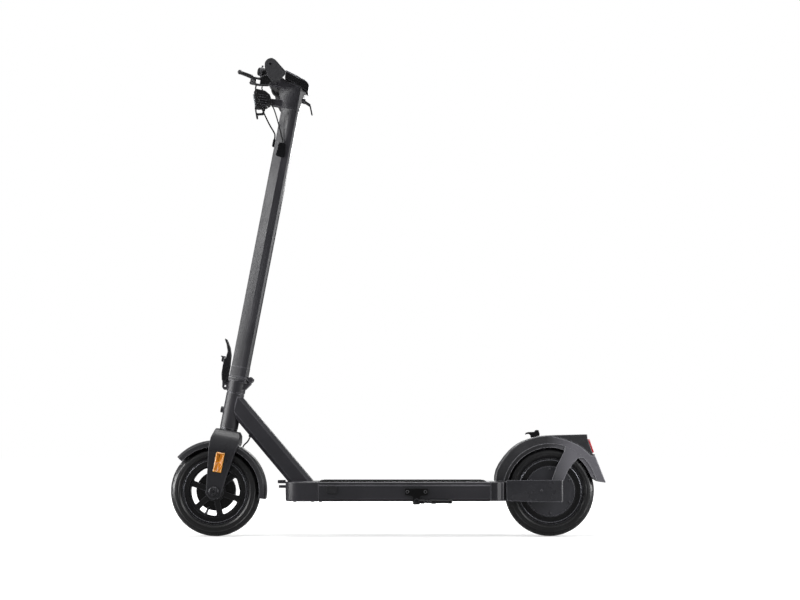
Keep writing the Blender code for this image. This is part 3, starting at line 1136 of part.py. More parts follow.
def build_kickstand():
    """Side stand, folded: bracket on the deck's left wall, and the leg on its tilted pin."""
    w = DECK_W / 2
    pivot = Vector((KICK_X, KICK_Y, KICK_Z))
    plate = rounded([(KICK_X - 0.029, KICK_Z + 0.0150), (KICK_X - 0.009, KICK_Z + 0.0125),
                     (KICK_X - 0.008, KICK_Z - 0.008),
                     (KICK_X + 0.009, KICK_Z - 0.008), (KICK_X + 0.011, KICK_Z + 0.0125),
                     (KICK_X + 0.030, KICK_Z + 0.0150), (KICK_X + 0.030, KICK_Z + 0.0330),
                     (KICK_X - 0.029, KICK_Z + 0.0330)], 0.002, 2)
    bracket = add_part("kick_bracket", prism(plate, w + GAP, w + GAP + 0.003), "black_steel")
    for x in (KICK_X - 0.022, KICK_X + 0.023):
        combine(bracket, turned([(0, w + 0.001), (0.0042, w + 0.001), (0.0042, w + 0.0048),
                                 (0.0030, w + 0.0058),
                                 (0, w + 0.0058)], "Y", (x, 0, KICK_Z + 0.024), 12), "UNION")
    half = KICK_HUB_W / 2
    pin = turned([(0, -half - 0.0038), (KICK_PIN_R, -half - 0.0038), (KICK_PIN_R, half + GAP),
                  (0.0058, half + GAP), (0.0050, half + 0.0030), (0, half + 0.0030)], "Z", (0, 0, 0), 16)
    combine(bracket, oriented(pin, pivot, KICK_AXIS), "UNION")
    leg = turned([(0, 0), (0.0050, 0), (0.0050, 0.010), (0.0058, 0.012), (0.0058, 0.018), (0.0042, 0.020),
                  (0.0042, 0.026), (0.0052, 0.027), (0.0042, 0.029), (0.0042, 0.032), (0.0052, 0.033),
                  (0.0042, 0.035), (0.0062, 0.038), (0.0062, 0.046), (0.0050, 0.049),
                  (0.0046, KICK_L - 0.011),
                  (0.0055, KICK_L - 0.009), (0.0055, KICK_L - 0.001), (0.0040, KICK_L), (0, KICK_L)], "X",
                 (0, 0, 0), 10)
    bmesh.ops.rotate(leg, verts=leg.verts[:], cent=(0, 0, 0), matrix=Matrix.Rotation(pi, 3, "Z"))
    bmesh.ops.translate(leg, verts=leg.verts[:], vec=pivot)
    stand = add_part("kick_leg", leg, "black_steel", None, pivot)
    hub = oriented(rod(0.0072, -half, half, "Z", (0, 0, 0), 20), pivot, KICK_AXIS)
    combine(stand, hub, "UNION")
    combine(stand, oriented(rod(KICK_PIN_R + GAP, -0.02, 0.02, "Z", (0, 0, 0), 16), pivot, KICK_AXIS))


# Rear end
def from_rear_axle(x, z):
    """A point of the side view measured from the rear axle."""
    return REAR_X + x, TYRE_R + z


ARM_TOP = DECK_TOP + 0.001
FENDER_FOOT = DECK_TOP + GAP - TYRE_R
FENDER_ARCH = TYRE_R + 0.0025
LAMP_NOTCH = -0.0060    # behind the rear axle, where the lamp housing starts
LINER_R = FENDER_ARCH + 0.006
FENDER_SIDE_R = FENDER_ARCH + 0.0035    # lower edge of the fender's outer sides
INNER_SKIRT_R = TYRE_R - 0.004
INNER_SKIRT_Y = 0.0295


def build_rear_frame():
    """The cast fork behind the deck that holds the hub motor, and the covers over its ends."""
    start = DECK_REAR - GAP
    yoke_back = REAR_X + TYRE_R + 0.008
    arm_out, arm_in = ARM_W / 2, ARM_W / 2 - ARM_T
    end = REAR_X - 0.034
    half = [(start, YOKE_W / 2), (start - 0.018, YOKE_W / 2), (start - 0.027, YOKE_W / 2 - 0.006),
            (yoke_back - 0.002, YOKE_W / 2 - 0.006), (yoke_back - 0.007, arm_out), (end, arm_out),
            (end, arm_in),
            (yoke_back - 0.018, arm_in), (yoke_back, arm_in - 0.008)]
    plan = prism(symmetric(half), DECK_BOTTOM - 0.05, DECK_TOP + 0.05, "Z")
    frame = add_part("rear_frame", plan, "frame_paint")
    side = ([(start + 0.01, DECK_BOTTOM + 0.0005), (start + 0.01, DECK_TOP), (yoke_back, DECK_TOP)]
            + arc(REAR_X, TYRE_R, ARM_H / 2, 84, 270, 9) + [(yoke_back, DECK_BOTTOM + 0.0005)])
    combine(frame, prism(side, -0.2, 0.2), "INTERSECT")
    soften(frame, 0.002, 1, 50)
    combine(frame, prism(deck_room(GAP), start - 0.002, start + 0.030, "X"), "UNION")
    combine(frame, rod(AXLE_R + GAP, -0.2, 0.2, "Y", (REAR_X, 0, TYRE_R), 20))
    front = yoke_back - 0.0085
    back = REAR_X - COVER_BACK
    outline = [(front, DECK_BOTTOM + 0.0010), (front, DECK_TOP + 0.0035),
               (REAR_X + 0.030, DECK_TOP + 0.0045),
               (back, DECK_TOP + 0.0045), (back, DECK_BOTTOM - 0.0015),
               (REAR_X + 0.030, DECK_BOTTOM - 0.0015)]
    outline = rounded(outline, 0.004, 2)
    for name, sign in (("arm_cover_left", 1), ("arm_cover_right", -1)):
        low, high = arm_out + GAP, arm_out + GAP + COVER_T
        corners = ([(front, low), (front, high - 0.002), (front - 0.002, high)]
                   + arc(back + COVER_ROUND, high - COVER_ROUND, COVER_ROUND, 90, 180, 5) + [(back, low)])
        cover = add_part(name, prism(outline, *sorted((sign * low, sign * high))), "black_plastic")
        around = prism([(x, sign * y) for x, y in corners], DECK_BOTTOM - 0.02, DECK_TOP + 0.02, "Z")
        combine(cover, around, "INTERSECT")
        slope = [(sign * (high + 0.001), COVER_STEP_Z), (sign * high, COVER_STEP_Z),
                 (sign * (high - 0.0030), DECK_TOP + 0.02),
                 (sign * (high + 0.001), DECK_TOP + 0.02)]
        combine(cover, prism(slope, front - 0.3, front + 0.1, "X"))
        inner, outer = sorted((sign * (arm_out - 0.002), sign * (arm_out + 0.0098)))
        combine(cover, rod(0.0118, inner, outer, "Y", (REAR_X, 0, TYRE_R), 20))


def fender_top():
    """The rear fender's outer line in the side view, from its foot over the wheel to the lamp."""
    line = [(0.1392, FENDER_FOOT), (0.1385, 0.0380), (0.1348, 0.0540), (0.1270, 0.0695), (0.1146, 0.0870),
            (0.1010, 0.1028), (0.0885, 0.1137), (0.0763, 0.1222), (0.0636, 0.1288), (0.0500, 0.1335),
            (0.0261, 0.1395), (0.0100, 0.1412)]
    return [from_rear_axle(x, z) for x, z in line + [(LAMP_NOTCH, 0.1419)]]


def fender_seam():
    """The line under the tail lamp housing, from its thin front end to its rear."""
    return [(LAMP_NOTCH - 0.0012, 0.1392), (-0.0240, 0.1348), (-0.0400, 0.1306), (-0.0535, 0.1255),
            (-0.0690, 0.1185), (-0.0830, 0.1098), (-0.1035, 0.0912)]


def fender_height(x):
    """How high the fender's outer line is above the rear axle, at a distance from it."""
    line = [(a - REAR_X, b - TYRE_R) for a, b in fender_top()]
    for (xa, za), (xb, zb) in zip(line, line[1:]):
        if xb <= x <= xa and xa > xb:
            return za + (zb - za) * (xa - x) / (xa - xb)
    return line[-1][1]


def build_rear_fender():
    """Fender with its side braces, the tail lamp let into its end, and the hook on its top."""
    seam = fender_seam() + [(-0.1150, 0.0885), (-TAIL_REACH, 0.0214), (-0.1236, 0.0240), (-0.1152, 0.0290)]
    arch = arc(0, 0, INNER_SKIRT_R, 160, 14, 20) + [(INNER_SKIRT_R * 0.974, FENDER_FOOT)]
    outline = fender_top() + [from_rear_axle(x, z) for x, z in seam + arch]
    half = REAR_FENDER_W / 2
    fender = add_part("rear_fender", prism(outline, -half, half), "black_plastic")
    soften(fender, 0.0022, 1, 75)
    wall = REAR_FENDER_T
    roof = [(x - REAR_X - 0.0015, z - TYRE_R - wall) for x, z in fender_top()[1:-1]]
    tail = [(x + 0.0005, z - wall - 0.0005) for x, z in fender_seam()[1:]]
    hollow_line = [(0.1345, FENDER_FOOT - 0.01)] + roof + tail + [(-0.1125, 0.0830), (-0.1280, 0.0340),
                                                                   (-0.1195, 0.0340)]
    liner = arc(0, 0, LINER_R, 160, 14, 16) + [(LINER_R * 0.99, FENDER_FOOT - 0.01)]
    hollow = prism([from_rear_axle(x, z) for x, z in hollow_line + liner], -half + wall, half - wall)
    combine(fender, hollow)
    axle = (REAR_X, 0, TYRE_R)
    combine(fender, rod(FENDER_ARCH, -INNER_SKIRT_Y, INNER_SKIRT_Y, "Y", axle, 48))
    for low, high in ((half - wall, half + wall), (-half - wall, wall - half)):
        combine(fender, rod(FENDER_SIDE_R, low, high, "Y", axle, 48))
    arm_mid = (ARM_W - ARM_T) / 2
    foot_z = ARM_TOP + 4 * GAP - TYRE_R
    for sign in (1, -1):
        rings = []
        for xa, za, xb, zb, y in ((-0.0395, 0.1200, -0.0930, 0.0850, half - STAY_T - 0.0004),
                                  (-0.0366, 0.1032, -0.0709, 0.0838, half - STAY_T + 0.0005),
                                  (-0.0266, 0.0830, -0.0568, 0.0691, half - 0.0010),
                                  (-0.0150, 0.0616, -0.0441, 0.0527, half + 0.0040),
                                  (-0.0022, foot_z, -0.0318, foot_z, arm_mid - STAY_T / 2)):
            (xa, za), (xb, zb) = from_rear_axle(xa, za), from_rear_axle(xb, zb)
            rings.append([Vector((xa, sign * y, za)), Vector((xb, sign * y, zb)),
                          Vector((xb, sign * (y + STAY_T), zb)), Vector((xa, sign * (y + STAY_T), za))])
        combine(fender, lofted(rings), "UNION")
    under = [(x, z + 2 * GAP) for x, z in reversed(fender_seam()[1:])]
    housing_line = ([(LAMP_NOTCH - GAP, 0.1421), (-0.0945, 0.1442), (-0.0955, 0.1330), (-0.1085, 0.0945),
                     (-0.1140, 0.0930), (-0.1142, 0.0893)] + under + [(LAMP_NOTCH - 0.0020, 0.1400)])
    housing = add_part("tail_housing", prism([from_rear_axle(x, z) for x, z in housing_line], -half + 0.001,
                                             half - 0.001), "black_plastic")
    soften(housing, 0.0008, 1, 60)
    front_high, front_low = Vector((-0.0955, 0.1325)), Vector((-0.1083, 0.0950))
    way = (front_low - front_high).normalized()
    out = Vector((way.y, -way.x))
    a = front_high + out * GAP + way * 0.0012
    b = front_low + out * GAP - way * 0.0012
    lens_line = [tuple(a), tuple(a + out * 0.0045 + way * 0.001), tuple(b + out * 0.0045 - way * 0.001),
                 tuple(b)]
    lens = add_part("tail_lens", prism([from_rear_axle(x, z) for x, z in lens_line], -half + 0.005,
                                       half - 0.005),
                    "red_lens")
    soften(lens, 0.0012, 2, 40)
    base = [(x, fender_height(x) + 2 * GAP) for x in (0.0235, 0.0261, 0.0460)]
    upper = [(0.0470, 0.1405), (0.0497, 0.1446), (0.0565, 0.1446), (0.0612, 0.1430), (0.0590, 0.1478),
             (0.0540, 0.1499), (0.0370, 0.1506), (0.0343, 0.1552), (0.0265, 0.1552), (0.0240, 0.1460)]
    hook = prism([from_rear_axle(x, z) for x, z in base + upper], -HOOK_W / 2, HOOK_W / 2)
    hook_part = add_part("fender_hook", hook, "black_plastic")
    soften(hook_part, 0.0010, 1, 40)


build_front_wheel()
build_rear_wheel()
build_fork()
build_drum_brake()
build_front_fender()
build_headset()
build_collar()
build_latch()
build_stem()
build_head()
build_catch()
build_bar()
build_lamp()
build_brake_lever()
build_bell()
build_throttle()
build_cables()
build_neck()
build_deck()
build_kickstand()
build_rear_frame()
build_rear_fender()
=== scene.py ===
# Folding electric scooter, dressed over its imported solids, in the order in which it is put together.
# World frame in metres: +X forward, +Y to the rider's left, +Z up, with the ground at zero.
from math import atan, atan2, cos, hypot, pi, radians, sin

import bmesh
import bpy
from mathutils import Matrix, Vector


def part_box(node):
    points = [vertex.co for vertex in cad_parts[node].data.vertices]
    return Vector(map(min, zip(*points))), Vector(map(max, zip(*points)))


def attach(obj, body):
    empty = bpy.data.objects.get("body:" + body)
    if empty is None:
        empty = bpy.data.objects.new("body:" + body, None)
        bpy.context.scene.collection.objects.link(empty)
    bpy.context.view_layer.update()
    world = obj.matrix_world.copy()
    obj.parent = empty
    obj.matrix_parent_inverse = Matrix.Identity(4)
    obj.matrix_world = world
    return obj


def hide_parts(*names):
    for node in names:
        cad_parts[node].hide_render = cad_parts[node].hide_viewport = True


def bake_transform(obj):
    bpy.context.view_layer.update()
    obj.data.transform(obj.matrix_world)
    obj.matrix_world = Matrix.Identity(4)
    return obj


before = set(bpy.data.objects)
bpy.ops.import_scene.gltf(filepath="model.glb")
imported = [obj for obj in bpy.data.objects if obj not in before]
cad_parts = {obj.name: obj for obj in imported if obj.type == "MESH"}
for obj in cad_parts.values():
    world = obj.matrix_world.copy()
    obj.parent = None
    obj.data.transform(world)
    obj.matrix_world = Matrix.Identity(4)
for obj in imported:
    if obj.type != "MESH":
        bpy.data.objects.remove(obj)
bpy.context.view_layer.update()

# Camera
# A long lens stands almost level with the deck on the rider's left, turned a touch off square.
# Its height and aim put the ground line and both wheels where the picture shows them.
LENS_PX = 1834                  # the lens, in pixels of the 800-pixel picture
SIDE_PX = 12                    # how far the view square to the deck is off the picture's middle
HORIZON_PX = 140                # how far the horizon is under the picture's middle
CAMERA_AT = (0, 4.70, 0.244)
camera_data = bpy.data.cameras.new("camera")
camera_data.lens = 82.5
camera_data.sensor_width = 36
camera = bpy.data.objects.new("camera", camera_data)
bpy.context.scene.collection.objects.link(camera)
level = Matrix.Rotation(-atan(SIDE_PX / LENS_PX), 3, "Z") @ Vector((0, -1, 0))
pitch = atan(HORIZON_PX / LENS_PX)
look = level * cos(pitch) + Vector((0, 0, sin(pitch)))
right = look.cross(Vector((0, 0, 1))).normalized()
upward = right.cross(look)
aimed = Matrix((right, upward, -look)).transposed().to_4x4()
camera.matrix_world = Matrix.Translation(CAMERA_AT) @ aimed
bpy.context.scene.camera = camera
bpy.context.scene.view_settings.view_transform = "Standard"


# Studio
# A pale seamless floor and sky, with large soft lamps at both ends, above, behind and on the left.
# The sky is white to the camera and through glass, and the floor keeps the soft shadow of the wheels.
# In reflections both are weaker, because a full white would lift every black face to grey.
def colour(code):
    """A colour written as sRGB hex, as the shader's linear values."""
    parts = [int(code[i:i + 2], 16) / 255 for i in (0, 2, 4)]
    return (*[c / 12.92 if c <= 0.04045 else ((c + 0.055) / 1.055) ** 2.4 for c in parts], 1)


def add(tree, kind, sockets=None, **settings):
    """Adds a shader node to a tree with its settings, and its inputs as values or as links."""
    made = tree.nodes.new("ShaderNode" + kind)
    for key, value in settings.items():
        setattr(made, key, value)
    for key, value in (sockets or {}).items():
        if isinstance(value, bpy.types.NodeSocket):
            tree.links.new(value, made.inputs[key])
        else:
            made.inputs[key].default_value = value
    return made


WHITE = colour("ffffff")
SKY_LIGHT = 0.17                # what the sky adds to the lamps
SKY_GLOSS = (0.06, 1.0)         # the sky in reflections, at the horizon and overhead
SKY_RISE = 0.12                 # how high over the horizon it starts to brighten there
world = bpy.data.worlds.new("studio_sky")
bpy.context.scene.world = world
world.use_nodes = True
tree = world.node_tree
tree.nodes.clear()
rays = add(tree, "LightPath")
heading = add(tree, "SeparateXYZ", {0: add(tree, "TexCoord").outputs["Generated"]})
overhead = add(tree, "MapRange", {"Value": heading.outputs["Z"], "From Min": SKY_RISE,
                                  "To Min": SKY_GLOSS[0], "To Max": SKY_GLOSS[1]})
clear = add(tree, "Math", {0: rays.outputs["Is Camera Ray"], 1: rays.outputs["Is Transmission Ray"]},
            operation="MAXIMUM")
strength = add(tree, "Mix", {"Factor": rays.outputs["Is Glossy Ray"], 2: SKY_LIGHT, 3: overhead.outputs[0]})
strength = add(tree, "Mix", {"Factor": clear.outputs[0], 2: strength.outputs[0], 3: 1.0})
sky = add(tree, "Background", {"Color": WHITE, "Strength": strength.outputs[0]})
add(tree, "OutputWorld", {"Surface": sky.outputs[0]})

# Seamless paper: matt and even, with the faintest fibre in its tone, drawn far coarser than real fibres.
# It glows a little, and more far off, so that it runs out into the white of the sky.
FLOOR_SIZE = 40
FLOOR_TONE = (0.74, 0.76)
FLOOR_GLOSS = 0.24              # the floor's share in reflections, so that black parts stay black
GLOW = (0.34, 0.90)
GLOW_REACH = (0.9, 2.4)         # from the origin, where the glow starts to grow and where it is full
bpy.ops.object.select_all(action="DESELECT")
bpy.ops.mesh.primitive_plane_add(size=FLOOR_SIZE, location=(0, 0, 0))
floor = bpy.context.object
floor.name = "studio_floor"
bpy.ops.object.transform_apply()
paper = bpy.data.materials.new("seamless_paper_matt")
paper.use_nodes = True
tree = paper.node_tree
tree.nodes.clear()
rays = add(tree, "LightPath")
seen = rays.outputs["Is Camera Ray"]
for ray in ("Is Glossy Ray", "Is Transmission Ray"):
    seen = add(tree, "Math", {0: seen, 1: rays.outputs[ray]}, operation="MAXIMUM").outputs[0]
place = add(tree, "TexCoord").outputs["Object"]
fibre = add(tree, "TexNoise", {"Vector": place, "Scale": 60.0, "Detail": 3.0})
tone = add(tree, "MapRange", {"Value": fibre.outputs["Fac"], "To Min": FLOOR_TONE[0],
                              "To Max": FLOOR_TONE[1]})
share = add(tree, "Mix", {"Factor": rays.outputs["Is Glossy Ray"], 2: 1.0, 3: FLOOR_GLOSS})
tone = add(tree, "Math", {0: tone.outputs[0], 1: share.outputs[0]}, operation="MULTIPLY")
matt = add(tree, "BsdfDiffuse", {"Color": tone.outputs[0]})
distance = add(tree, "VectorMath", {0: place}, operation="LENGTH")
glow = add(tree, "MapRange", {"Value": distance.outputs["Value"], "From Min": GLOW_REACH[0],
                              "From Max": GLOW_REACH[1], "To Min": GLOW[0], "To Max": GLOW[1]})
glow = add(tree, "Math", {0: glow.outputs[0], 1: share.outputs[0]}, operation="MULTIPLY")
glow = add(tree, "Emission", {"Color": WHITE, "Strength": glow.outputs[0]})
both = add(tree, "AddShader", {0: matt.outputs[0], 1: glow.outputs[0]})
mix = add(tree, "MixShader", {"Fac": seen, 1: matt.outputs[0], 2: both.outputs[0]})
add(tree, "OutputMaterial", {"Surface": mix.outputs[0]})
floor.data.materials.append(paper)

# Each lamp's place, aim, width and height, and watts
for name, place, aim, size, power in (
        ("key_lamp", (2.8, 2.0, 1.9), (0.1, 0, 0.5), (1.0, 1.0), 62),
        ("fill_lamp", (-2.6, 2.0, 1.4), (-0.1, 0, 0.4), (1.2, 1.2), 40),
        ("top_lamp", (0.0, 0.3, 3.2), (0, 0, 0.3), (1.6, 1.6), 54),
        ("front_lamp", (3.2, 0.4, 0.55), (0.1, 0, 0.3), (2.6, 1.0), 100),
        ("rear_lamp", (-3.2, 0.4, 0.55), (-0.1, 0, 0.3), (2.6, 1.0), 72),
        ("far_lamp", (-0.6, -3.0, 2.0), (0, 0, 0.5), (1.6, 1.6), 70)):
    lamp = bpy.data.lights.new(name, "AREA")
    lamp.shape = "RECTANGLE"
    lamp.size, lamp.size_y = size
    lamp.energy = power
    holder = bpy.data.objects.new(name, lamp)
    bpy.context.scene.collection.objects.link(holder)
    holder.location = place
    holder.rotation_euler = (Vector(aim) - Vector(place)).to_track_quat("-Z", "Y").to_euler()

# Deck
# A hollow aluminium extrusion with a wall of 3 mm and a groove along each side, powder coated in charcoal.
# The battery and the controller slide into it; the nose and the rear fork are cast and close its ends.
SIDES = (("left", 1), ("right", -1))
MERGE = 0.00001                 # points nearer than this are one point


def worn_and_lit_edges(tree, reach):
    """A mask that is 1 on corners and 0 on flat faces: a rounded normal leaves the face's own on corners. The
    materials paint corners paler with it, partly as wear and partly as a painted highlight.
    """
    soft = add(tree, "Bevel", {"Radius": reach}, samples=4)
    flat = add(tree, "NewGeometry")
    same = add(tree, "VectorMath", {0: soft.outputs[0], 1: flat.outputs["True Normal"]},
               operation="DOT_PRODUCT")
    return add(tree, "MapRange", {"Value": same.outputs["Value"], "From Min": 0.985, "From Max": 0.86})


def start_material(name, roughness, metallic=0.0, **inputs):
    """A new material with a Principled shader, its object coordinates and its tree."""
    made = bpy.data.materials.new(name)
    made.use_nodes = True
    tree = made.node_tree
    shader = tree.nodes["Principled BSDF"]
    shader.inputs["Roughness"].default_value = roughness
    shader.inputs["Metallic"].default_value = metallic
    for key, value in inputs.items():
        shader.inputs[key.replace("_", " ")].default_value = value
    place = add(tree, "TexCoord").outputs["Object"]
    return made, tree, shader, place


def wire(made, shader, **outputs):
    """Links the last nodes of a material to the inputs of its shader."""
    for key, output in outputs.items():
        made.node_tree.links.new(output, shader.inputs[key.replace("_", " ")])
    return made


def powder_coat(name, base, paler_tone, grain=0.0016, rough=(0.30, 0.42), level=0.32):
    """Baked polyester powder: an orange peel with small flecks, and corners painted a little brighter, partly
    as wear and partly as a painted highlight.
    The real peel is finer than a millimetre, and is drawn at 1.4 to 1.8 mm so that it shows here."""
    made, tree, shader, place = start_material(name, rough[1], Specular_IOR_Level=level)
    peel = add(tree, "TexNoise", {"Vector": place, "Scale": 1 / grain, "Detail": 3.0, "Roughness": 0.6})
    cloud = add(tree, "TexNoise", {"Vector": place, "Scale": 9.0, "Detail": 4.0, "Roughness": 0.55})
    tones = add(tree, "ValToRGB", {"Fac": cloud.outputs["Fac"]})
    for stop, position, code in zip(tones.color_ramp.elements, (0.30, 0.72), base):
        stop.position = position
        stop.color = colour(code)
    fleck = add(tree, "TexVoronoi", {"Vector": place, "Scale": 1 / grain})
    spark = add(tree, "MapRange", {"Value": fleck.outputs["Distance"], "From Min": 0.16, "From Max": 0.0,
                                   "To Max": 0.22})
    speckled = add(tree, "Mix", {0: spark.outputs[0], 6: tones.outputs["Color"], 7: colour(paler_tone)},
                   data_type="RGBA")
    edge = worn_and_lit_edges(tree, 0.0030)
    uneven = add(tree, "MapRange", {"Value": cloud.outputs["Fac"], "From Min": 0.35, "From Max": 0.65,
                                    "To Min": 0.15, "To Max": 0.45})
    # Corners painted toward the paler tone: partly wear, partly a painted highlight along the edges
    rub_and_highlight = add(tree, "Math", {0: edge.outputs[0], 1: uneven.outputs[0]}, operation="MULTIPLY")
    mixed = add(tree, "Mix", {0: rub_and_highlight.outputs[0], 6: speckled.outputs[2], 7: colour(paler_tone)},
                data_type="RGBA")
    satin = add(tree, "MapRange", {"Value": cloud.outputs["Fac"], "From Min": 0.3, "From Max": 0.7,
                                   "To Min": rough[0], "To Max": rough[1]})
    bump = add(tree, "Bump", {"Height": peel.outputs["Fac"], "Strength": 0.18, "Distance": 0.0004})
    return wire(made, shader, Base_Color=mixed.outputs[2], Roughness=satin.outputs[0], Normal=bump.outputs[0])


def take_up(piece):
    """Selects one piece alone and makes it the active one."""
    bpy.ops.object.select_all(action="DESELECT")
    piece.select_set(True)
    bpy.context.view_layer.objects.active = piece


def joined_copy(name, node):
    """A copy of a node's shape with its loose faces joined into one skin, and its flat faces made whole."""
    piece = bpy.data.objects.new(name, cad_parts[node].data.copy())
    bpy.context.scene.collection.objects.link(piece)
    take_up(piece)
    piece.data.materials.clear()
    bpy.ops.mesh.customdata_custom_splitnormals_clear()
    bpy.ops.object.mode_set(mode="EDIT")
    bpy.ops.mesh.select_all(action="SELECT")
    bpy.ops.mesh.remove_doubles(threshold=MERGE)
    bpy.ops.mesh.dissolve_limited(angle_limit=radians(1.0))
    bpy.ops.object.mode_set(mode="OBJECT")
    return piece


def round_edges(piece, width=0, segments=2, angle=30):
    """Breaks the hard edges as casting, moulding or filing leaves them, and shades the rest smooth."""
    take_up(piece)
    if width:
        edge = piece.modifiers.new("edge", "BEVEL")
        edge.width = width
        edge.segments = segments
        edge.limit_method = "ANGLE"
        edge.angle_limit = radians(angle)
        bpy.ops.object.modifier_apply(modifier="edge")
    bpy.ops.object.shade_smooth_by_angle(angle=radians(angle + 4))
    if width:
        flat = piece.modifiers.new("flat_faces", "WEIGHTED_NORMAL")
        flat.keep_sharp = True
        bpy.ops.object.modifier_apply(modifier="flat_faces")
    return piece


def finish_piece(piece, body, material, slot_name, *nodes):
    """Gives a piece its material and the body it rides on, and hides the nodes that it stands for; its slot
    name is not used.
    """
    piece.data.materials.clear()
    piece.data.materials.append(material)
    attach(piece, body)
    if nodes:
        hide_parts(*nodes)
    return piece


def dress(node, body, material, slot_name, width, angle=30):
    """A node shown by a joined copy of itself with broken edges and its real finish."""
    piece = round_edges(joined_copy(node + "_skin", node), width, angle=angle)
    return finish_piece(piece, body, material, slot_name, node)


def new_block(name, low, high):
    """A cube primitive set to two corners, with its place in its mesh."""
    bpy.ops.object.select_all(action="DESELECT")
    bpy.ops.mesh.primitive_cube_add(size=1, location=(Vector(low) + Vector(high)) / 2)
    piece = bpy.context.object
    piece.name = name
    piece.scale = Vector(high) - Vector(low)
    bpy.ops.object.transform_apply()
    return piece


def select_in_edit(piece, kind, test):
    """In edit mode, selects the faces or edges that a test of their middle and direction accepts."""
    take_up(piece)
    bpy.ops.object.mode_set(mode="EDIT")
    bpy.ops.mesh.select_mode(type=kind)
    bpy.ops.mesh.select_all(action="DESELECT")
    skin = bmesh.from_edit_mesh(piece.data)
    if kind == "FACE":
        for face in skin.faces:
            if test(face.calc_center_median(), face.normal):
                face.select_set(True)
    else:
        for edge in skin.edges:
            one, two = (v.co for v in edge.verts)
            if test((one + two) / 2, (two - one).normalized()):
                edge.select_set(True)
    bmesh.update_edit_mesh(piece.data)


def bevel_edges(piece, test, offset, segments):
    """Bevels the edges that a test of their middle and direction accepts."""
    select_in_edit(piece, "EDGE", test)
    bpy.ops.mesh.bevel(offset=offset, segments=segments, affect="EDGES")
    bpy.ops.object.mode_set(mode="OBJECT")


# Charcoal polyester powder on aluminium: dark grey and satin, with broad soft highlights
charcoal_powder = powder_coat("charcoal_powder_coat_satin", ("212124", "28272b"), "87868c")
dress("deck_shell", "frame", charcoal_powder, "frame_paint", 0.0006)
dress("nose_casting", "frame", charcoal_powder, "frame_paint", 0.0014)

# The same powder, painted paler along the extrusion's raised bead: a thin painted highlight line under the
# mat
bead_highlight_coat = powder_coat("charcoal_powder_coat_highlight_line", ("3a393d", "47464a"), "8f8e94")
BEAD_REAR, BEAD_FRONT = -0.2560, 0.1730
BEAD_LOW, BEAD_HIGH = 0.1285, 0.1300
BEAD_PROUD = 0.0006
for side, sign in SIDES:
    edge_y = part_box("deck_shell")[1].y * sign
    near, far = sorted((edge_y - sign * BEAD_PROUD, edge_y + sign * BEAD_PROUD))
    bead = new_block("deck_bead_" + side, (BEAD_REAR, near, BEAD_LOW), (BEAD_FRONT, far, BEAD_HIGH))
    bevel_edges(bead, lambda middle, way: abs(way.x) > 0.9 and middle.y * sign > abs(edge_y), 0.0005, 2)
    round_edges(bead, angle=40)
    finish_piece(bead, "frame", bead_highlight_coat, "frame_paint")

# Deck mat and small parts of the deck
# A moulded rubber mat is glued on the deck: rounded corners, a plain rim and long anti-slip ribs.
# A rubber flap covers the charge socket on the left side, and four screws under the nose hold the casting.
RIB_PITCH = 0.0062
RIB_W = 0.0034
RIB_H = 0.0009
MAT_RIM = 0.007
MAT_CORNER = 0.010
SUNK = 0.0002                   # how deep a rib's foot is set into the mat


def rubber(name, base, dust, grain=0.0020, roughness=0.82, level=0.14):
    """Vulcanised rubber or soft PVC: a fine mould texture with pale dust caught in it.
    The real texture is some tenths of a millimetre, and is drawn at 2 mm and more so that it shows."""
    made, tree, shader, place = start_material(name, roughness, Specular_IOR_Level=level)
    fine = add(tree, "TexNoise", {"Vector": place, "Scale": 1 / grain, "Detail": 4.0, "Roughness": 0.65})
    broad = add(tree, "TexNoise", {"Vector": place, "Scale": 14.0, "Detail": 5.0, "Roughness": 0.6})
    both = add(tree, "Math", {0: fine.outputs["Fac"], 1: broad.outputs["Fac"]}, operation="MULTIPLY")
    shade = add(tree, "MapRange", {"Value": both.outputs[0], "From Min": 0.18, "From Max": 0.42})
    mixed = add(tree, "Mix", {0: shade.outputs[0], 6: colour(base), 7: colour(dust)}, data_type="RGBA")
    bump = add(tree, "Bump", {"Height": fine.outputs["Fac"], "Strength": 0.30, "Distance": 0.0004})
    return wire(made, shader, Base_Color=mixed.outputs[2], Normal=bump.outputs[0])


def upright(middle, way):
    """Accepts an edge that stands along Z."""
    return abs(way.z) > 0.9


# Black moulded rubber: no shine, a trace of grey dust between the grains
mat_rubber = rubber("black_mat_rubber_moulded", "08080a", "19191b", level=0.05)
mat_low, mat_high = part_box("deck_mat")
mat = new_block("deck_mat_ribbed", mat_low, (mat_high.x, mat_high.y, mat_high.z - RIB_H))
bevel_edges(mat, upright, MAT_CORNER, 6)
rib_count = int((mat_high.y - mat_low.y - 2 * MAT_RIM - RIB_W) / RIB_PITCH) + 1
rib_start = (mat_low.y + mat_high.y) / 2 - (rib_count - 1) * RIB_PITCH / 2
rib = new_block("deck_mat_rib", (mat_low.x + MAT_RIM, rib_start - RIB_W / 2, mat_high.z - RIB_H - SUNK),
                (mat_high.x - MAT_RIM, rib_start + RIB_W / 2, mat_high.z))
bevel_edges(rib, lambda middle, way: abs(way.x) > 0.9 and middle.z > mat_high.z - 0.0001, 0.0006, 2)
row = rib.modifiers.new("row", "ARRAY")
row.count = rib_count
row.use_relative_offset = False
row.use_constant_offset = True
row.constant_offset_displace = (0, RIB_PITCH, 0)
bpy.ops.object.modifier_apply(modifier="row")
mat.select_set(True)
bpy.context.view_layer.objects.active = mat
bpy.ops.object.join()
round_edges(mat, 0.0004, 2, 40)
finish_piece(mat, "frame", mat_rubber, "rubber", "deck_mat")

# Rubber moulded in the colour of the deck: the flap shows only by its thin outline and a duller face
flap_rubber = rubber("charcoal_flap_rubber_moulded", "1a1a1c", "222225", 0.0020, 0.60, 0.20)
dress("charge_flap", "charge_flap", flap_rubber, "rubber", 0.0006)


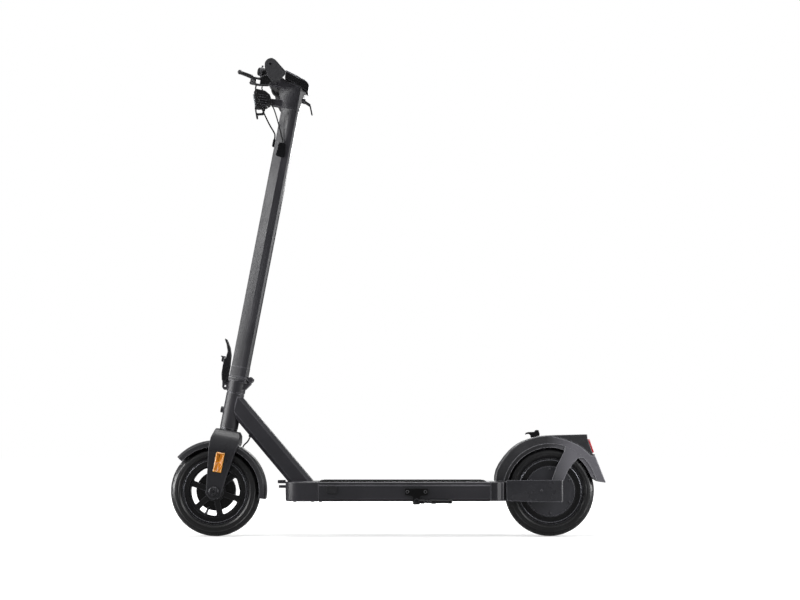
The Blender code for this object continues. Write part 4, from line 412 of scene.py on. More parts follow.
def dark_steel(name, base, paler_tone, roughness=0.36, metallic=0.8):
    """Turned or pressed metal: fine streaks in gloss and tone, and corners painted paler, partly as wear and
    partly as a painted gleam.
    The real tool marks are near a tenth of a millimetre, and are drawn at about 1 mm so that they show."""
    made, tree, shader, place = start_material(name, roughness, metallic)
    drawn = add(tree, "Mapping", {"Vector": place, "Scale": (900, 900, 90)})
    streak = add(tree, "TexNoise", {"Vector": drawn.outputs[0], "Scale": 1.0, "Detail": 3.0})
    # Corners painted toward the paler tone: partly wear, partly a painted gleam along the edges
    edge = worn_and_lit_edges(tree, 0.0010)
    tone = add(tree, "MapRange", {"Value": streak.outputs["Fac"], "From Min": 0.35, "From Max": 0.7,
                                  "To Max": 0.35})
    lift = add(tree, "Math", {0: tone.outputs[0], 1: edge.outputs[0]}, operation="MAXIMUM")
    mixed = add(tree, "Mix", {0: lift.outputs[0], 6: colour(base), 7: colour(paler_tone)}, data_type="RGBA")
    gloss = add(tree, "MapRange", {"Value": streak.outputs["Fac"], "From Min": 0.3, "From Max": 0.7,
                                   "To Min": roughness - 0.07, "To Max": roughness + 0.10})
    bump = add(tree, "Bump", {"Height": streak.outputs["Fac"], "Strength": 0.12, "Distance": 0.0002})
    return wire(made, shader, Base_Color=mixed.outputs[2], Roughness=gloss.outputs[0], Normal=bump.outputs[0])


def lathe(name, profile, steps=48, ring=False):
    """Turns a profile of (radius, height) round +Z: a ring of edges is extruded from point to point."""
    bpy.ops.object.select_all(action="DESELECT")
    here_r, here_h = profile[0]
    bpy.ops.mesh.primitive_circle_add(vertices=steps, radius=here_r, location=(0, 0, here_h),
                                      fill_type="NOTHING" if ring else "NGON")
    piece = bpy.context.object
    piece.name = name
    bpy.ops.object.transform_apply()
    bpy.ops.object.mode_set(mode="EDIT")
    bpy.ops.mesh.select_mode(type="EDGE" if ring else "FACE")
    bpy.ops.mesh.select_all(action="SELECT")
    for next_r, next_h in profile[1:] + (profile[:1] if ring else []):
        bpy.ops.mesh.extrude_region_move(TRANSFORM_OT_translate={"value": (0, 0, next_h - here_h)})
        bpy.ops.transform.resize(value=(next_r / here_r, next_r / here_r, 1), center_override=(0, 0, next_h))
        here_r, here_h = next_r, next_h
    bpy.ops.mesh.select_all(action="SELECT")
    bpy.ops.mesh.remove_doubles(threshold=MERGE / 2)
    bpy.ops.mesh.normals_make_consistent(inside=False)
    bpy.ops.object.mode_set(mode="OBJECT")
    return piece


def settle(piece, matrix):
    """Puts a piece at its place by moving its mesh, so that its object stays at the origin."""
    piece.data.transform(matrix)
    piece.data.update()


def hexagon(radius, depth, place, turn=(0, 0, 0)):
    """A six-sided tool that cuts a socket for a key."""
    bpy.ops.object.select_all(action="DESELECT")
    bpy.ops.mesh.primitive_cylinder_add(vertices=6, radius=radius, depth=depth, location=place, rotation=turn)
    bpy.ops.object.transform_apply()
    return bpy.context.object


def cut_away(piece, tool):
    """Cuts one solid from another and removes the tool."""
    cut = piece.modifiers.new("cut", "BOOLEAN")
    cut.operation = "DIFFERENCE"
    cut.solver = "EXACT"
    cut.object = tool
    take_up(piece)
    bpy.ops.object.modifier_apply(modifier="cut")
    bpy.data.objects.remove(tool)


def socket_screw(radius, height):
    """A button-head screw with a hexagon socket, drawn standing on the origin along +Z."""
    shank = radius * 0.55
    head = lathe("screw", [(shank, -0.0015), (shank, 0), (radius, 0), (radius, height * 0.35),
                           (radius * 0.86, height * 0.75), (shank, height), (radius * 0.05, height)], 24)
    cut_away(head, hexagon(radius * 0.46, height * 1.4, (0, 0, height * 1.15)))
    return round_edges(head, angle=32)


def place_copies(pattern, name, matrices, body, material, slot_name):
    """Sets copies of one modelled piece, each with its own mesh, and removes the pattern."""
    for count, matrix in enumerate(matrices, 1):
        piece = bpy.data.objects.new(name + "_" + str(count), pattern.data.copy())
        bpy.context.scene.collection.objects.link(piece)
        settle(piece, matrix)
        finish_piece(piece, body, material, slot_name)
    bpy.data.objects.remove(pattern)


# Blackened steel: dark, with a soft metallic gleam along the tool marks, and a painted gleam with some wear
# on its corners
black_steel = dark_steel("blackened_steel_turned", "161617", "7f7f84")
nose_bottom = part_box("nose_casting")[0].z
under = [Matrix.Translation((x, y, nose_bottom)) @ Matrix.Rotation(pi, 4, "X")
         for x in (0.190, 0.235) for y in (-0.045, 0.045)]
place_copies(socket_screw(0.0045, 0.0022), "nose_screw", under, "frame", black_steel, "black_steel")


# Battery, controller and their wraps
# The cells sit in a blue shrink wrap, and the controller in a ribbed aluminium case, inside the deck.
# They show only where the deck's ends are open or the flap is up.
def repaint(material, *nodes):
    """A better material on nodes whose own shape stays."""
    for node in nodes:
        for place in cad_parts[node].material_slots:
            place.material = material


# Blue PVC shrink wrap: a smooth tight skin with a dull sheen
shrink_wrap = rubber("blue_shrink_wrap_pvc", "1d3350", "2c4a70", 0.0050, 0.42)
repaint(shrink_wrap, "battery_pack")
# Bead-blasted cast aluminium: pale grey, and too dull to mirror anything
cast_alloy = dark_steel("cast_aluminium_bead_blasted", "77787b", "b5b6b9", 0.46, 0.9)
repaint(cast_alloy, "controller")

# Neck and head tube
# A tapered box beam is welded to the nose and to the head tube, which is machined for the two bearings.
# The weld is ground smooth under the powder coat; a cable boot of rubber sits behind the fork.
dress("neck_beam", "frame", charcoal_powder, "frame_paint", 0.0020)
dress("head_tube", "frame", charcoal_powder, "frame_paint", 0.0007)
repaint(black_steel, "bearing_lower", "bearing_upper")

# Steering frame
# Everything that steers is drawn along the raked axis, as it is on the maker's bench.
# Its origin is 2 mm behind the front axle, and its +Z runs up the stem.
RAKE = radians(10.6)
FORK_OFFSET = 0.002


def centre_of(node):
    """The middle of a node's box."""
    low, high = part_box(node)
    return (low + high) / 2


front_hub = centre_of("front_tyre")
STEER = (Matrix.Translation((front_hub.x - FORK_OFFSET * cos(RAKE), 0, front_hub.z - FORK_OFFSET * sin(RAKE)))
         @ Matrix.Rotation(-RAKE, 4, "Y"))

# Fork
# A forged one-piece fork: wide crown, legs that narrow to the dropouts, thick powder coat.
# Amber reflectors with a pale border are glued on its outer sides.

# The fork's coat is thicker and glossier than the frame's, with a harder highlight on its shoulders
fork_powder = powder_coat("charcoal_powder_coat_semigloss", ("1a1a1c", "212124"), "7c7c81", 0.0018,
                          (0.24, 0.32), 0.34)
dress("fork", "steer", fork_powder, "frame_paint", 0.0030)


def lens_plastic(name, base, pale, cell=0.0022, roughness=0.16, through=0.25):
    """Moulded acrylic or polycarbonate over prisms: clear and glossy, with small cells under the surface."""
    made, tree, shader, place = start_material(name, roughness, IOR=1.49, Transmission_Weight=through)
    cells = add(tree, "TexVoronoi", {"Vector": place, "Scale": 1 / cell, "Randomness": 0.15})
    mixed = add(tree, "ValToRGB", {"Fac": cells.outputs["Distance"]})
    mixed.color_ramp.elements[0].color = colour(pale)
    mixed.color_ramp.elements[1].color = colour(base)
    mixed.color_ramp.elements[1].position = 0.6
    bump = add(tree, "Bump", {"Height": cells.outputs["Distance"], "Strength": 0.35, "Distance": 0.0004})
    return wire(made, shader, Base_Color=mixed.outputs["Color"], Normal=bump.outputs[0])


# Amber acrylic: deep orange, sparkling in 2 mm cells that stand for the finer real prisms
amber_prisms = lens_plastic("amber_acrylic_prismatic", "b96a04", "dd8f24")
# The welded border has no prisms behind it: paler and plainer
amber_border = lens_plastic("amber_acrylic_clear_border", "cf8f34", "dfa650", 0.004, 0.2, 0.1)
BORDER_W = 0.0022
BORDER_STEP = 0.0005
for side, sign in SIDES:
    panel = dress("reflector_" + side, "steer", amber_prisms, "orange_lens", 0.0005)
    panel.data.materials.append(amber_border)
    select_in_edit(panel, "FACE", lambda middle, normal: normal.y * sign > 0.9)
    bpy.ops.mesh.inset(thickness=BORDER_W, depth=0)
    bpy.ops.mesh.inset(thickness=0.0004, depth=-BORDER_STEP)
    bpy.ops.mesh.select_all(action="INVERT")
    panel.active_material_index = 1
    bpy.ops.object.material_slot_assign()
    bpy.ops.object.mode_set(mode="OBJECT")

# Front axle and drum brake
# The axle is a turned steel bar with domed caps outside the dropouts, each with a socket for a key.
# The drum's backing plate is cast aluminium; a steel arm on it is pulled by the cable.
AXLE_KEY_R = 0.0050
AXLE_KEY_DEPTH = 0.008
axle = dress("front_axle", "steer", black_steel, "black_steel", 0.0006, 34)
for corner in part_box("front_axle"):
    cut_away(axle, hexagon(AXLE_KEY_R, AXLE_KEY_DEPTH, (front_hub.x, corner.y, front_hub.z), (pi / 2, 0, 0)))
dress("drum_plate", "steer", cast_alloy, "alloy", 0.0006)
# Zinc plate on turned steel: silver grey, with small sharp highlights
bright_steel = dark_steel("zinc_plated_steel_turned", "8b8c90", "c8c9cc", 0.30, 1.0)
dress("brake_arm", "brake_arm", bright_steel, "bare_steel", 0.0004)
# Extruded PVC: black and smooth, with one soft highlight along each cable
cable_jacket = rubber("black_cable_jacket_pvc", "070708", "121213", 0.0030, 0.45)
brake_line = round_edges(joined_copy("lower_cable_skin", "lower_cable"), angle=40)
brake_line.data.materials.append(cable_jacket)
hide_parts("lower_cable")
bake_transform(brake_line)

# Tyres
# Solid rubber tyres, moulded: a round crown with two grooves and cross sipes, and raised rings on the sides.
# A tyre is a section circle spun round its axle; the pattern is pressed in face by face.
TYRE_SECTORS = 120
SECTION_POINTS = 44
SECTION_HALF = 0.0188           # half the height of a tyre's section
SIPE_EVERY = 4                  # sectors from one sipe to the next
# Tyre rubber: black, with the half gloss of a fresh mould, which draws light rings round its sides
tyre_rubber = rubber("black_tyre_rubber_moulded", "0c0c0d", "1c1c1e", 0.0022, 0.33, 0.50)


def moulded_tyre(node, body):
    """Spins a tyre's section round its axle, then presses grooves, sipes and side rings into its faces."""
    low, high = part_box(node)
    middle = (low + high) / 2
    outer = (high.z - low.z) / 2
    bpy.ops.object.select_all(action="DESELECT")
    bpy.ops.mesh.primitive_circle_add(vertices=SECTION_POINTS, radius=1, rotation=(0, pi / 2, 0))
    piece = bpy.context.object
    piece.name = node + "_moulded"
    piece.scale = (SECTION_HALF, (high.y - low.y) / 2, 1)
    piece.location = (middle.x, 0, middle.z + outer - SECTION_HALF)
    bpy.ops.object.transform_apply()
    bpy.ops.object.mode_set(mode="EDIT")
    bpy.ops.mesh.select_all(action="SELECT")
    bpy.ops.mesh.spin(steps=TYRE_SECTORS, angle=2 * pi, center=middle, axis=(0, 1, 0))
    bpy.ops.mesh.select_all(action="SELECT")
    bpy.ops.mesh.remove_doubles(threshold=MERGE)
    bpy.ops.mesh.normals_make_consistent(inside=False)
    bpy.ops.object.mode_set(mode="OBJECT")

    def reach(point):
        return hypot(point.x - middle.x, point.z - middle.z)

    def in_turn(point, rest):
        angle = atan2(point.z - middle.z, point.x - middle.x)
        return int((angle / (2 * pi) + 0.5) * TYRE_SECTORS) % SIPE_EVERY == rest

    def groove(p, n):
        return reach(p) > outer - 0.008 and 0.006 < abs(p.y) < 0.0095

    def shoulder_sipe(p, n):
        return 0.0100 < abs(p.y) < 0.0232 and reach(p) > outer - 0.016 and in_turn(p, 0)

    def crown_sipe(p, n):
        return abs(p.y) < 0.0058 and reach(p) > outer - 0.003 and in_turn(p, 2)

    def side_ring(p, n):
        return 0.0905 < reach(p) < 0.0935 or 0.1000 < reach(p) < 0.1025

    for test, border, depth in ((groove, 0.0009, -0.0018), (shoulder_sipe, 0.0014, -0.0014),
                                (crown_sipe, 0.0012, -0.0013), (side_ring, 0.0006, 0.0012)):
        select_in_edit(piece, "FACE", test)
        bpy.ops.mesh.inset(thickness=border, depth=depth)
        bpy.ops.object.mode_set(mode="OBJECT")
    round_edges(piece)
    return finish_piece(piece, body, tyre_rubber, "tyre", node)


moulded_tyre("front_tyre", "front_wheel")

# Front wheel
# A cast aluminium wheel with six spokes and a brake drum on its right side, powder coated in gloss black.
# The lips of the rim are turned after coating, which leaves two thin lighter rings on each side.
OUTWARD = {1: Matrix.Rotation(-pi / 2, 4, "X"), -1: Matrix.Rotation(pi / 2, 4, "X")}    # +Z to +Y or -Y
RIM_FACE = 0.0235
LIP_R = 0.0788
SEAT_R, SEAT_W = 0.0836, 0.0008
# Gloss black powder: the spokes stay deep black between narrow highlights
rim_gloss = powder_coat("black_powder_coat_gloss", ("0c0c0d", "111112"), "6f6f74", 0.0018, (0.18, 0.28), 0.30)
dress("front_rim", "front_wheel", rim_gloss, "frame_paint", 0.0009, 28)
# Turned aluminium: a thin grey line with fine tool marks
turned_lip = dark_steel("aluminium_turned_lip", "606065", "8e8f95", 0.26, 0.9)


def turned_ring(name, centre, radius, face, sign, body, material, slot_name, width):
    """A thin turned ring standing proud of a side face."""
    inner, outer = radius - width / 2, radius + width / 2
    ring = lathe(name, [(inner, -0.0006), (outer, -0.0006), (outer, 0.0003), (radius + width / 4, 0.0007),
                        (radius - width / 4, 0.0007), (inner, 0.0003)], 120, True)
    settle(ring, Matrix.Translation((centre.x, face, centre.z)) @ OUTWARD[sign])
    round_edges(ring, angle=50)
    return finish_piece(ring, body, material, slot_name)


def wheel_lips(prefix, hub, body, lip_width):
    """The two turned lips on each side of a wheel: the rim's edge, and a finer one at the tyre's seat."""
    for side, sign in SIDES:
        for place, radius, width in (("_outer_", LIP_R, lip_width), ("_edge_", SEAT_R, SEAT_W)):
            turned_ring(prefix + place + side, hub, radius, sign * RIM_FACE, sign, body, turned_lip, "alloy",
                        width)


wheel_lips("rim_lip", front_hub, "front_wheel", 0.0022)
VALVE_AT = radians(-67)
VALVE_R = 0.064                 # from the axle to the valve's foot
valve = lathe("valve_stem", [(0.0038, 0), (0.0038, 0.004), (0.0026, 0.0055), (0.0026, 0.014),
                             (0.0034, 0.0145), (0.0034, 0.0205), (0.0028, 0.0215), (0.0003, 0.0215)], 20)
settle(valve, Matrix.Translation((front_hub.x + VALVE_R * cos(VALVE_AT), 0.004,
                                  front_hub.z + VALVE_R * sin(VALVE_AT)))
       @ Matrix.Rotation(-pi / 2 - VALVE_AT, 4, "Y"))
round_edges(valve, angle=35)
finish_piece(valve, "front_wheel", black_steel, "black_steel")


# Front fender
# Injection-moulded plastic, 3 mm thick, fixed under the fork crown: finely textured and duller than paint.
# Its wall is even all the way round, with a rounded rim.
def moulded_plastic(name, base, paler_tone, grain=0.0018, roughness=0.48, level=0.22, painted_light_fade=None):
    """Glass-filled polymer: a fine even grain and a soft sheen, with corners painted paler; a fade paints it
    paler from one X to another, as a painted highlight.
    The mould's real grain is near 0.2 mm, and is drawn at 1.4 mm and more so that it shows."""
    made, tree, shader, place = start_material(name, roughness, Specular_IOR_Level=level)
    etched = add(tree, "TexVoronoi", {"Vector": place, "Scale": 1 / grain}, feature="SMOOTH_F1")
    cloud = add(tree, "TexNoise", {"Vector": place, "Scale": 11.0, "Detail": 4.0})
    mottled = add(tree, "Math", {0: etched.outputs["Distance"], 1: cloud.outputs["Fac"]},
                  operation="MULTIPLY")
    # Corners painted toward the paler tone: partly wear, partly a painted highlight along the edges
    edge = worn_and_lit_edges(tree, 0.0024)
    tone = add(tree, "MapRange", {"Value": mottled.outputs[0], "From Max": 0.5, "To Max": 0.09})
    lift = add(tree, "Math", {0: tone.outputs[0], 1: edge.outputs[0]}, operation="MAXIMUM")
    ground = colour(base)
    # Painted light: the colour turns paler from one X to another, as a painted highlight
    if painted_light_fade:
        start, end, painted_light_colour = painted_light_fade
        along = add(tree, "SeparateXYZ", {0: place})
        painted_light_mask = add(tree, "MapRange", {"Value": along.outputs["X"], "From Min": start, "From Max": end})
        ground = add(tree, "Mix", {0: painted_light_mask.outputs[0], 6: ground, 7: colour(painted_light_colour)},
                     data_type="RGBA").outputs[2]
    mixed = add(tree, "Mix", {0: lift.outputs[0], 6: ground, 7: colour(paler_tone)}, data_type="RGBA")
    gloss = add(tree, "MapRange", {"Value": cloud.outputs["Fac"], "From Min": 0.3, "From Max": 0.7,
                                   "To Min": roughness - 0.05, "To Max": roughness + 0.08})
    bump = add(tree, "Bump", {"Height": etched.outputs["Distance"], "Strength": 0.14, "Distance": 0.0004})
    return wire(made, shader, Base_Color=mixed.outputs[2], Roughness=gloss.outputs[0], Normal=bump.outputs[0])


# Charcoal polypropylene: satin, so the arch shows one broad soft highlight along its top
fender_polymer = moulded_plastic("charcoal_polymer_satin", "19191b", "85858a", 0.0018, 0.38, 0.32)
dress("front_fender", "steer", fender_polymer, "black_plastic", 0.0007, 28)

# Fold joint
# A cast collar clamps the steerer; the stem's foot turns on a pin behind it, and the lever in front holds it.
# The lever is forged steel with a small sprung trigger that has to be pressed before it opens.
dress("lower_collar", "steer", charcoal_powder, "frame_paint", 0.0007)
dress("stem_base", "stem", charcoal_powder, "frame_paint", 0.0007)
repaint(bright_steel, "fold_pin")
# Satin black coating on the forged levers: near black, with sharper highlights than the plastics
lever_polymer = moulded_plastic("black_lever_coating_satin", "09090a", "6a6a6e", 0.0014, 0.27, 0.22)
dress("latch_lever", "latch_lever", lever_polymer, "black_steel", 0.0007)
dress("latch_trigger", "latch_trigger", lever_polymer, "black_steel", 0.0003)

# Stem and head
# An extruded aluminium tube with six facets carries the cast head, both powder coated together.
# Rubber grommets close the holes where the cables enter.
dress("stem_tube", "stem", charcoal_powder, "frame_paint", 0.0020)
dress("stem_head", "stem", charcoal_powder, "frame_paint", 0.0012)
dress("grommet_side", "stem", mat_rubber, "rubber", 0.0045)
dress("grommet_front", "stem", mat_rubber, "rubber", 0.0008)
dress("stow_catch", "stow_catch", black_steel, "black_steel", 0.0005)

# Display
# A black polymer housing with a smoked glass on its slanted top, a turned trim line round the glass,
# a thin metal band round the housing's edge, and the power button at its rear. The glass is bonded in.
HEAD_BOTTOM = 0.99915
GLASS_L = 0.0375
GLASS_W = 0.0500
GLASS_SHIFT = 0.0055
GLASS_CORNER = 0.0040
TRIM_W = 0.0012
TRIM_GAP = 0.0002
BAND_W = 0.0586
BAND_WALL = 0.0014
TOOL_H = 0.01                   # half the height of what cuts the openings
# Polished black polymer: as black as the glass, but with softer reflections
gloss_black = moulded_plastic("black_polymer_polished", "060607", "4c4c50", 0.0030, 0.22, 0.25)
# Dark grey polymer: the keys and paddles stand out a shade lighter than their housings
grey_polymer = moulded_plastic("dark_grey_polymer_etched", "262628", "78787c")
dress("display", "stem", gloss_black, "screen_glass", 0.0008)
dress("power_button", "power_button", grey_polymer, "grey_plastic", 0.0003)
glass_rear = Vector((-0.0217, 0, HEAD_BOTTOM + 0.0806))
glass_front = Vector((0.0298, 0, HEAD_BOTTOM + 0.0957))
band_length = (glass_front - glass_rear).length + 0.0012
glass_way = (glass_front - glass_rear).normalized()
glass_up = Vector((-glass_way.z, 0, glass_way.x))
GLASS = STEER @ Matrix.Translation((glass_rear + glass_front) / 2) @ Matrix((
    (glass_way.x, 0, glass_up.x, 0), (0, 1, 0, 0), (glass_way.z, 0, glass_up.z, 0), (0, 0, 0, 1)))


def smoked_glass(name, base, tint):
    """Smoked, coated glass: nearly black, very smooth, with faint wiping marks in its gloss."""
    made, tree, shader, place = start_material(name, 0.08, IOR=1.52, Coat_Weight=0.6, Coat_Roughness=0.04)
    wiped = add(tree, "Mapping", {"Vector": place, "Scale": (40, 240, 40)})
    marks = add(tree, "TexNoise", {"Vector": wiped.outputs[0], "Scale": 1.0, "Detail": 4.0})
    gloss = add(tree, "MapRange", {"Value": marks.outputs["Fac"], "From Min": 0.4, "From Max": 0.8,
                                   "To Min": 0.06, "To Max": 0.16})
    mixed = add(tree, "Mix", {0: marks.outputs["Fac"], 6: colour(base), 7: colour(tint)}, data_type="RGBA")
    return wire(made, shader, Base_Color=mixed.outputs[2], Roughness=gloss.outputs[0])


def plate(name, length, width, low, high, corner=0, segments=6, shift=0):
    """A flat block in the display's own plane, with its upright corners rounded."""
    made = new_block(name, (shift - length / 2, -width / 2, low), (shift + length / 2, width / 2, high))
    if corner:
        bevel_edges(made, upright, corner, segments)
    return made


# The window: a black mirror, a touch cooler than the housing
display_glass = smoked_glass("smoked_glass_coated", "08080a", "101014")
pane = plate("display_glass", GLASS_L, GLASS_W, -0.0004, 0.0005, GLASS_CORNER, shift=GLASS_SHIFT)
settle(pane, GLASS)
round_edges(pane, 0.0002, 2, 50)
finish_piece(pane, "stem", display_glass, "screen_glass")
trim = plate("display_trim", GLASS_L + 2 * TRIM_W, GLASS_W + 2 * TRIM_W, -0.0006, 0.0009, 0.0050,
             shift=GLASS_SHIFT)
cut_away(trim, plate("well", GLASS_L + 2 * TRIM_GAP, GLASS_W + 2 * TRIM_GAP, -TOOL_H, TOOL_H,
                     GLASS_CORNER + TRIM_GAP, shift=GLASS_SHIFT))
band = plate("display_band", band_length, BAND_W, -0.0042, -0.0024, 0.0020, 4)
cut_away(band, plate("well", band_length - 2 * BAND_WALL, BAND_W - 2 * BAND_WALL, -TOOL_H, TOOL_H))
for piece in (trim, band):
    settle(piece, GLASS)
    round_edges(piece, 0.0002, 1, 40)
    finish_piece(piece, "stem", turned_lip, "alloy")

# Handlebar and grips
# An aluminium bar is clamped in the head. The grips are soft rubber with a palm rest drawn out to the rider,
# a fine diamond pattern where the hand closes, and a plug in the open end of each.
BAR_PLACE = Vector((0.0505, 0, 1.06345))        # in the steering frame
BAR_AT = STEER @ BAR_PLACE
CLAMP_R = 0.0182
CLAMP_SCREWS_TILT = 48          # degrees in front of and behind the clamp's top
dress("handlebar", "stem", charcoal_powder, "frame_paint", 0.0004, 34)
dress("bar_clamp", "stem", charcoal_powder, "black_steel", 0.0006)
spots = [STEER @ Matrix.Translation(BAR_PLACE) @ Matrix.Rotation(radians(90 - tilt), 4, "Y")
         @ Matrix.Translation((0, y, CLAMP_R))
         for tilt in (CLAMP_SCREWS_TILT, -CLAMP_SCREWS_TILT) for y in (-0.0125, 0.0125)]
place_copies(socket_screw(0.0036, 0.0024), "clamp_screw", spots, "stem", bright_steel, "bare_steel")


def knurled_rubber(name, base, paler_tone, pitch=0.0034):
    """Soft thermoplastic rubber with a moulded diamond pattern, drawn at 3.4 mm where a real one has 2."""
    made, tree, shader, place = start_material(name, 0.70, Specular_IOR_Level=0.3)
    turned = add(tree, "Mapping", {"Vector": place, "Rotation": (0, radians(45), radians(45))})
    waves = [add(tree, "TexWave", {"Vector": turned.outputs[0], "Scale": 0.314 / pitch * 0.5},
                 bands_direction=way) for way in ("X", "Y")]
    diamond = add(tree, "Math", {0: waves[0].outputs["Fac"], 1: waves[1].outputs["Fac"]},
                  operation="MULTIPLY")
    grain = add(tree, "TexNoise", {"Vector": place, "Scale": 500.0, "Detail": 3.0})
    tone = add(tree, "MapRange", {"Value": grain.outputs["Fac"], "From Min": 0.3, "From Max": 0.75})
    mixed = add(tree, "Mix", {0: tone.outputs[0], 6: colour(base), 7: colour(paler_tone)}, data_type="RGBA")
    bump = add(tree, "Bump", {"Height": diamond.outputs[0], "Strength": 0.45, "Distance": 0.0006})
    return wire(made, shader, Base_Color=mixed.outputs[2], Normal=bump.outputs[0])


# Grip rubber: dark grey and dry to the eye, broken up by the diamonds
grip_rubber = knurled_rubber("dark_grey_grip_rubber_knurled", "202022", "2b2b2e")
for side, sign in SIDES:
    inner, outer = sorted((corner.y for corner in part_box("grip_" + side)), key=abs)
    grip = round_edges(joined_copy("grip_" + side + "_skin", "grip_" + side), 0.0042, 4, 40)
    finish_piece(grip, "stem", grip_rubber, "soft_grip", "grip_" + side)
    lock = lathe("grip_lock_" + side, [(0.0113, 0), (0.0150, 0), (0.0158, 0.0008), (0.0158, 0.0042),
                                       (0.0150, 0.0050), (0.0113, 0.0050)], 48, True)
    plug = lathe("grip_plug_" + side, [(0.0030, -0.0010), (0.0030, 0.0002), (0.0022, 0.0006),
                                       (0.0003, 0.0006)], 20)
    for piece, y, material, slot_name in ((lock, inner, black_steel, "black_steel"),
                                          (plug, outer, mat_rubber, "rubber")):
        settle(piece, Matrix.Translation((BAR_AT.x, y, BAR_AT.z)) @ OUTWARD[sign])
        round_edges(piece, angle=40)
        finish_piece(piece, "stem", material, slot_name)

# Brake lever, throttle and bell
# The lever turns on a pin in a clamp beside the left grip; the thumb throttle sits beside the right grip.
# The bell is a small dome with a sprung striker.

# Black polymer from an etched mould: deep black, with hardly any shine
black_polymer = moulded_plastic("black_polymer_etched", "070708", "4c4c50", level=0.14)
dress("lever_perch", "stem", lever_polymer, "black_steel", 0.0006)
dress("brake_lever", "brake_lever", lever_polymer, "black_steel", 0.0007)
dress("throttle_housing", "stem", black_polymer, "black_plastic", 0.0008)
dress("throttle_paddle", "throttle", grey_polymer, "grey_plastic", 0.0008)
dress("bell", "stem", black_polymer, "black_plastic", 0.0006)
dress("bell_striker", "bell_striker", grey_polymer, "grey_plastic", 0.0004)

# Head lamp
# A black polymer housing with cooling fins on the head's short arm, and a clear moulded lens in front.
# The lens is faceted inside, so it shows as small bright cells.
FIN_REAR, FIN_FRONT = 0.0600, 0.0880            # in the steering frame, as the next four are
FIN_HALF = 0.0240
FIN_FIRST = HEAD_BOTTOM - 0.0035
FIN_PITCH = 0.0062
FIN_H = 0.0016
dress("lamp_housing", "stem", black_polymer, "black_plastic", 0.0010)
for count in range(5):
    fin_z = FIN_FIRST + count * FIN_PITCH
    fin = new_block("lamp_fin_" + str(count + 1), (FIN_REAR, -FIN_HALF, fin_z),
                    (FIN_FRONT, FIN_HALF, fin_z + FIN_H))
    bevel_edges(fin, upright, 0.0045, 4)
    settle(fin, STEER)
    round_edges(fin, 0.0004, 2, 40)
    finish_piece(fin, "stem", gloss_black, "black_plastic")
# Clear polycarbonate: bright and glassy, white where its 3 mm cells catch the light
clear_lens = lens_plastic("clear_polycarbonate_lens", "b8bcc0", "eef0f2", 0.0032, 0.10, 0.5)
dress("lamp_lens", "stem", clear_lens, "lamp_lens", 0.0008)

# Cables
# The brake cable and the control wire leave the levers in long arcs and enter the stem at its grommets.
# Their jackets are extruded, smooth and a little glossy.
repaint(cable_jacket, "brake_cable", "control_wire")


# Rear fork and covers
# A cast fork bolted to the deck holds the motor's axle; moulded covers hide its arms and the axle's nuts.
# One screw holds each cover from outside.
def face_at(piece, x, z, sign):
    """How far out along Y a piece's side face stands at a place in the side view."""
    return piece.ray_cast(Vector((x, sign * 0.5, z)), Vector((0, -sign, 0)))[1].y


dress("rear_frame", "frame", charcoal_powder, "frame_paint", 0.0009)
# Charcoal polymer from a polished mould: it mirrors the lamps along its rounded ends
cover_polymer = moulded_plastic("charcoal_polymer_semigloss", "1f1f22", "77777c", 0.0018, 0.26, 0.40)
SCREW_X, SCREW_Z = -0.3868, 0.1165
for side, sign in SIDES:
    cover = dress("arm_cover_" + side, "frame", cover_polymer, "black_plastic", 0.0010, 34)
    spot = Matrix.Translation((SCREW_X, face_at(cover, SCREW_X, SCREW_Z, sign), SCREW_Z)) @ OUTWARD[sign]
    place_copies(socket_screw(0.0036, 0.0016), "cover_screw_" + side, [spot], "frame", black_steel,
                 "black_steel")
repaint(bright_steel, "rear_axle")

# Hub motor
# The motor is the rear wheel: a cast shell with its windings inside, closed by a screwed cover on the left.
# A turned ring and six screws show on the cover; the tyre and the rim's lips are as in front.
MOTOR_SCREW_RING = 0.0560
COVER_RING_R = 0.0618
moulded_tyre("rear_tyre", "rear_wheel")
dress("motor_shell", "rear_wheel", rim_gloss, "frame_paint", 0.0009, 28)
# The cover keeps the frame's charcoal in a finer and smoother coat, painted a shade lighter as a painted
# highlight across the cover
motor_coat = powder_coat("charcoal_powder_coat_smooth", ("29292c", "343438"), "87868c", 0.0018, (0.26, 0.36),
                         0.30)
motor_cover = dress("motor_cover", "rear_wheel", motor_coat, "frame_paint", 0.0007, 28)
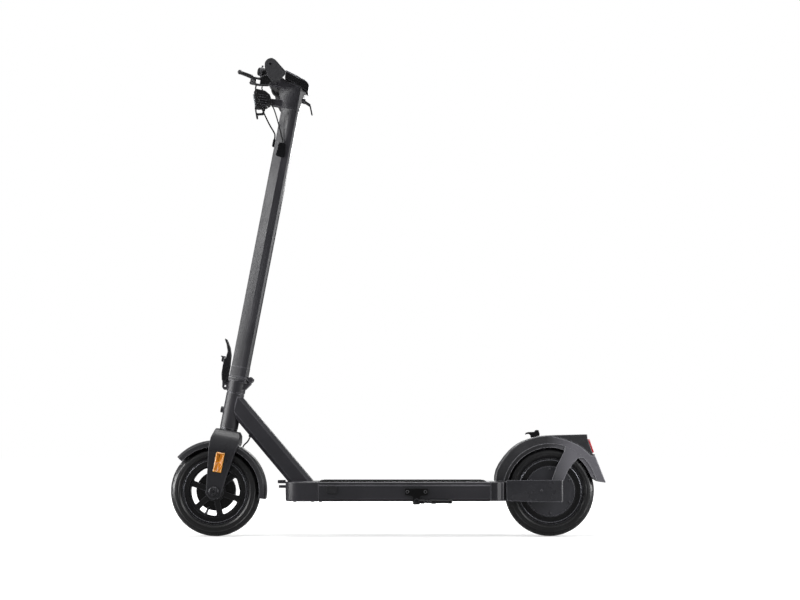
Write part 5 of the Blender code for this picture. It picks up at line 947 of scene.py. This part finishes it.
# Enamelled copper: warm brown and glossy, hidden inside the shell
copper_wire = dark_steel("enamelled_copper_wire", "8a4a26", "c27a48", 0.34, 0.9)
repaint(copper_wire, "motor_stator")
rear_hub = centre_of("rear_tyre")
spots = []
for step in range(6):
    angle = radians(30 + 60 * step)
    x = rear_hub.x + MOTOR_SCREW_RING * cos(angle)
    z = rear_hub.z + MOTOR_SCREW_RING * sin(angle)
    spots.append(Matrix.Translation((x, face_at(motor_cover, x, z, 1), z)) @ OUTWARD[1])
place_copies(socket_screw(0.0030, 0.0014), "motor_screw", spots, "rear_wheel", black_steel, "black_steel")
face = face_at(motor_cover, rear_hub.x, rear_hub.z + COVER_RING_R - 0.0003, 1)
turned_ring("motor_cover_ring", rear_hub, COVER_RING_R, face, 1, "rear_wheel", turned_lip, "alloy", 0.0010)
wheel_lips("motor_lip", rear_hub, "rear_wheel", 0.0024)

# Rear fender and tail lamp
# The fender and its braces are moulded in charcoal polymer, and the tail lamp's housing stands on its top.
# The hook in front of it catches the stem's bail when the scooter is folded.

# Charcoal polymer with a satin skin, painted paler towards the rear: a painted highlight where the light
# falls on the fender's rear
rear_polymer = moulded_plastic("charcoal_polymer_fender", "1a1a1c", "8a8a8e", 0.0018, 0.38, 0.32,
                               (-0.40, -0.47, "545358"))
dress("rear_fender", "frame", rear_polymer, "black_plastic", 0.0008)
dress("tail_housing", "frame", fender_polymer, "black_plastic", 0.0008)
dress("fender_hook", "frame", black_polymer, "black_plastic", 0.0005)
# Red acrylic: clear and glossy, with paler sparks in its prisms
red_lens = lens_plastic("red_acrylic_prismatic", "bc1a24", "ee6068", 0.0026, 0.14, 0.2)
dress("tail_lens", "frame", red_lens, "red_lens", 0.0006)

# Kickstand
# A pressed bracket is screwed to the deck's left side, with a turned steel leg that folds up under the deck.
# Two plated washers show under the heads of its screws.

# Black electrophoretic coat on pressed steel: deep black, with a dull painted gleam and some wear on its
# corners
black_ecoat = powder_coat("black_ecoat_on_pressed_steel", ("070708", "0c0c0d"), "6a6a6e", 0.0014,
                          (0.34, 0.44), 0.16)
dress("kick_bracket", "frame", black_ecoat, "black_steel", 0.0005)
bracket_low, bracket_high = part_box("kick_bracket")
PLATE_FACE = bracket_low.y + 0.0055
WASHER_R = 0.0034
for count, inset in enumerate((0.0070, 0.0520), 1):
    centre = Vector((bracket_low.x + inset, 0, bracket_high.z - 0.0090))
    turned_ring("bracket_washer_" + str(count), centre, WASHER_R, PLATE_FACE, 1, "frame", bright_steel,
                "bare_steel", 0.0010)
dress("kick_leg", "kickstand", black_ecoat, "black_steel", 0.0003, 34)
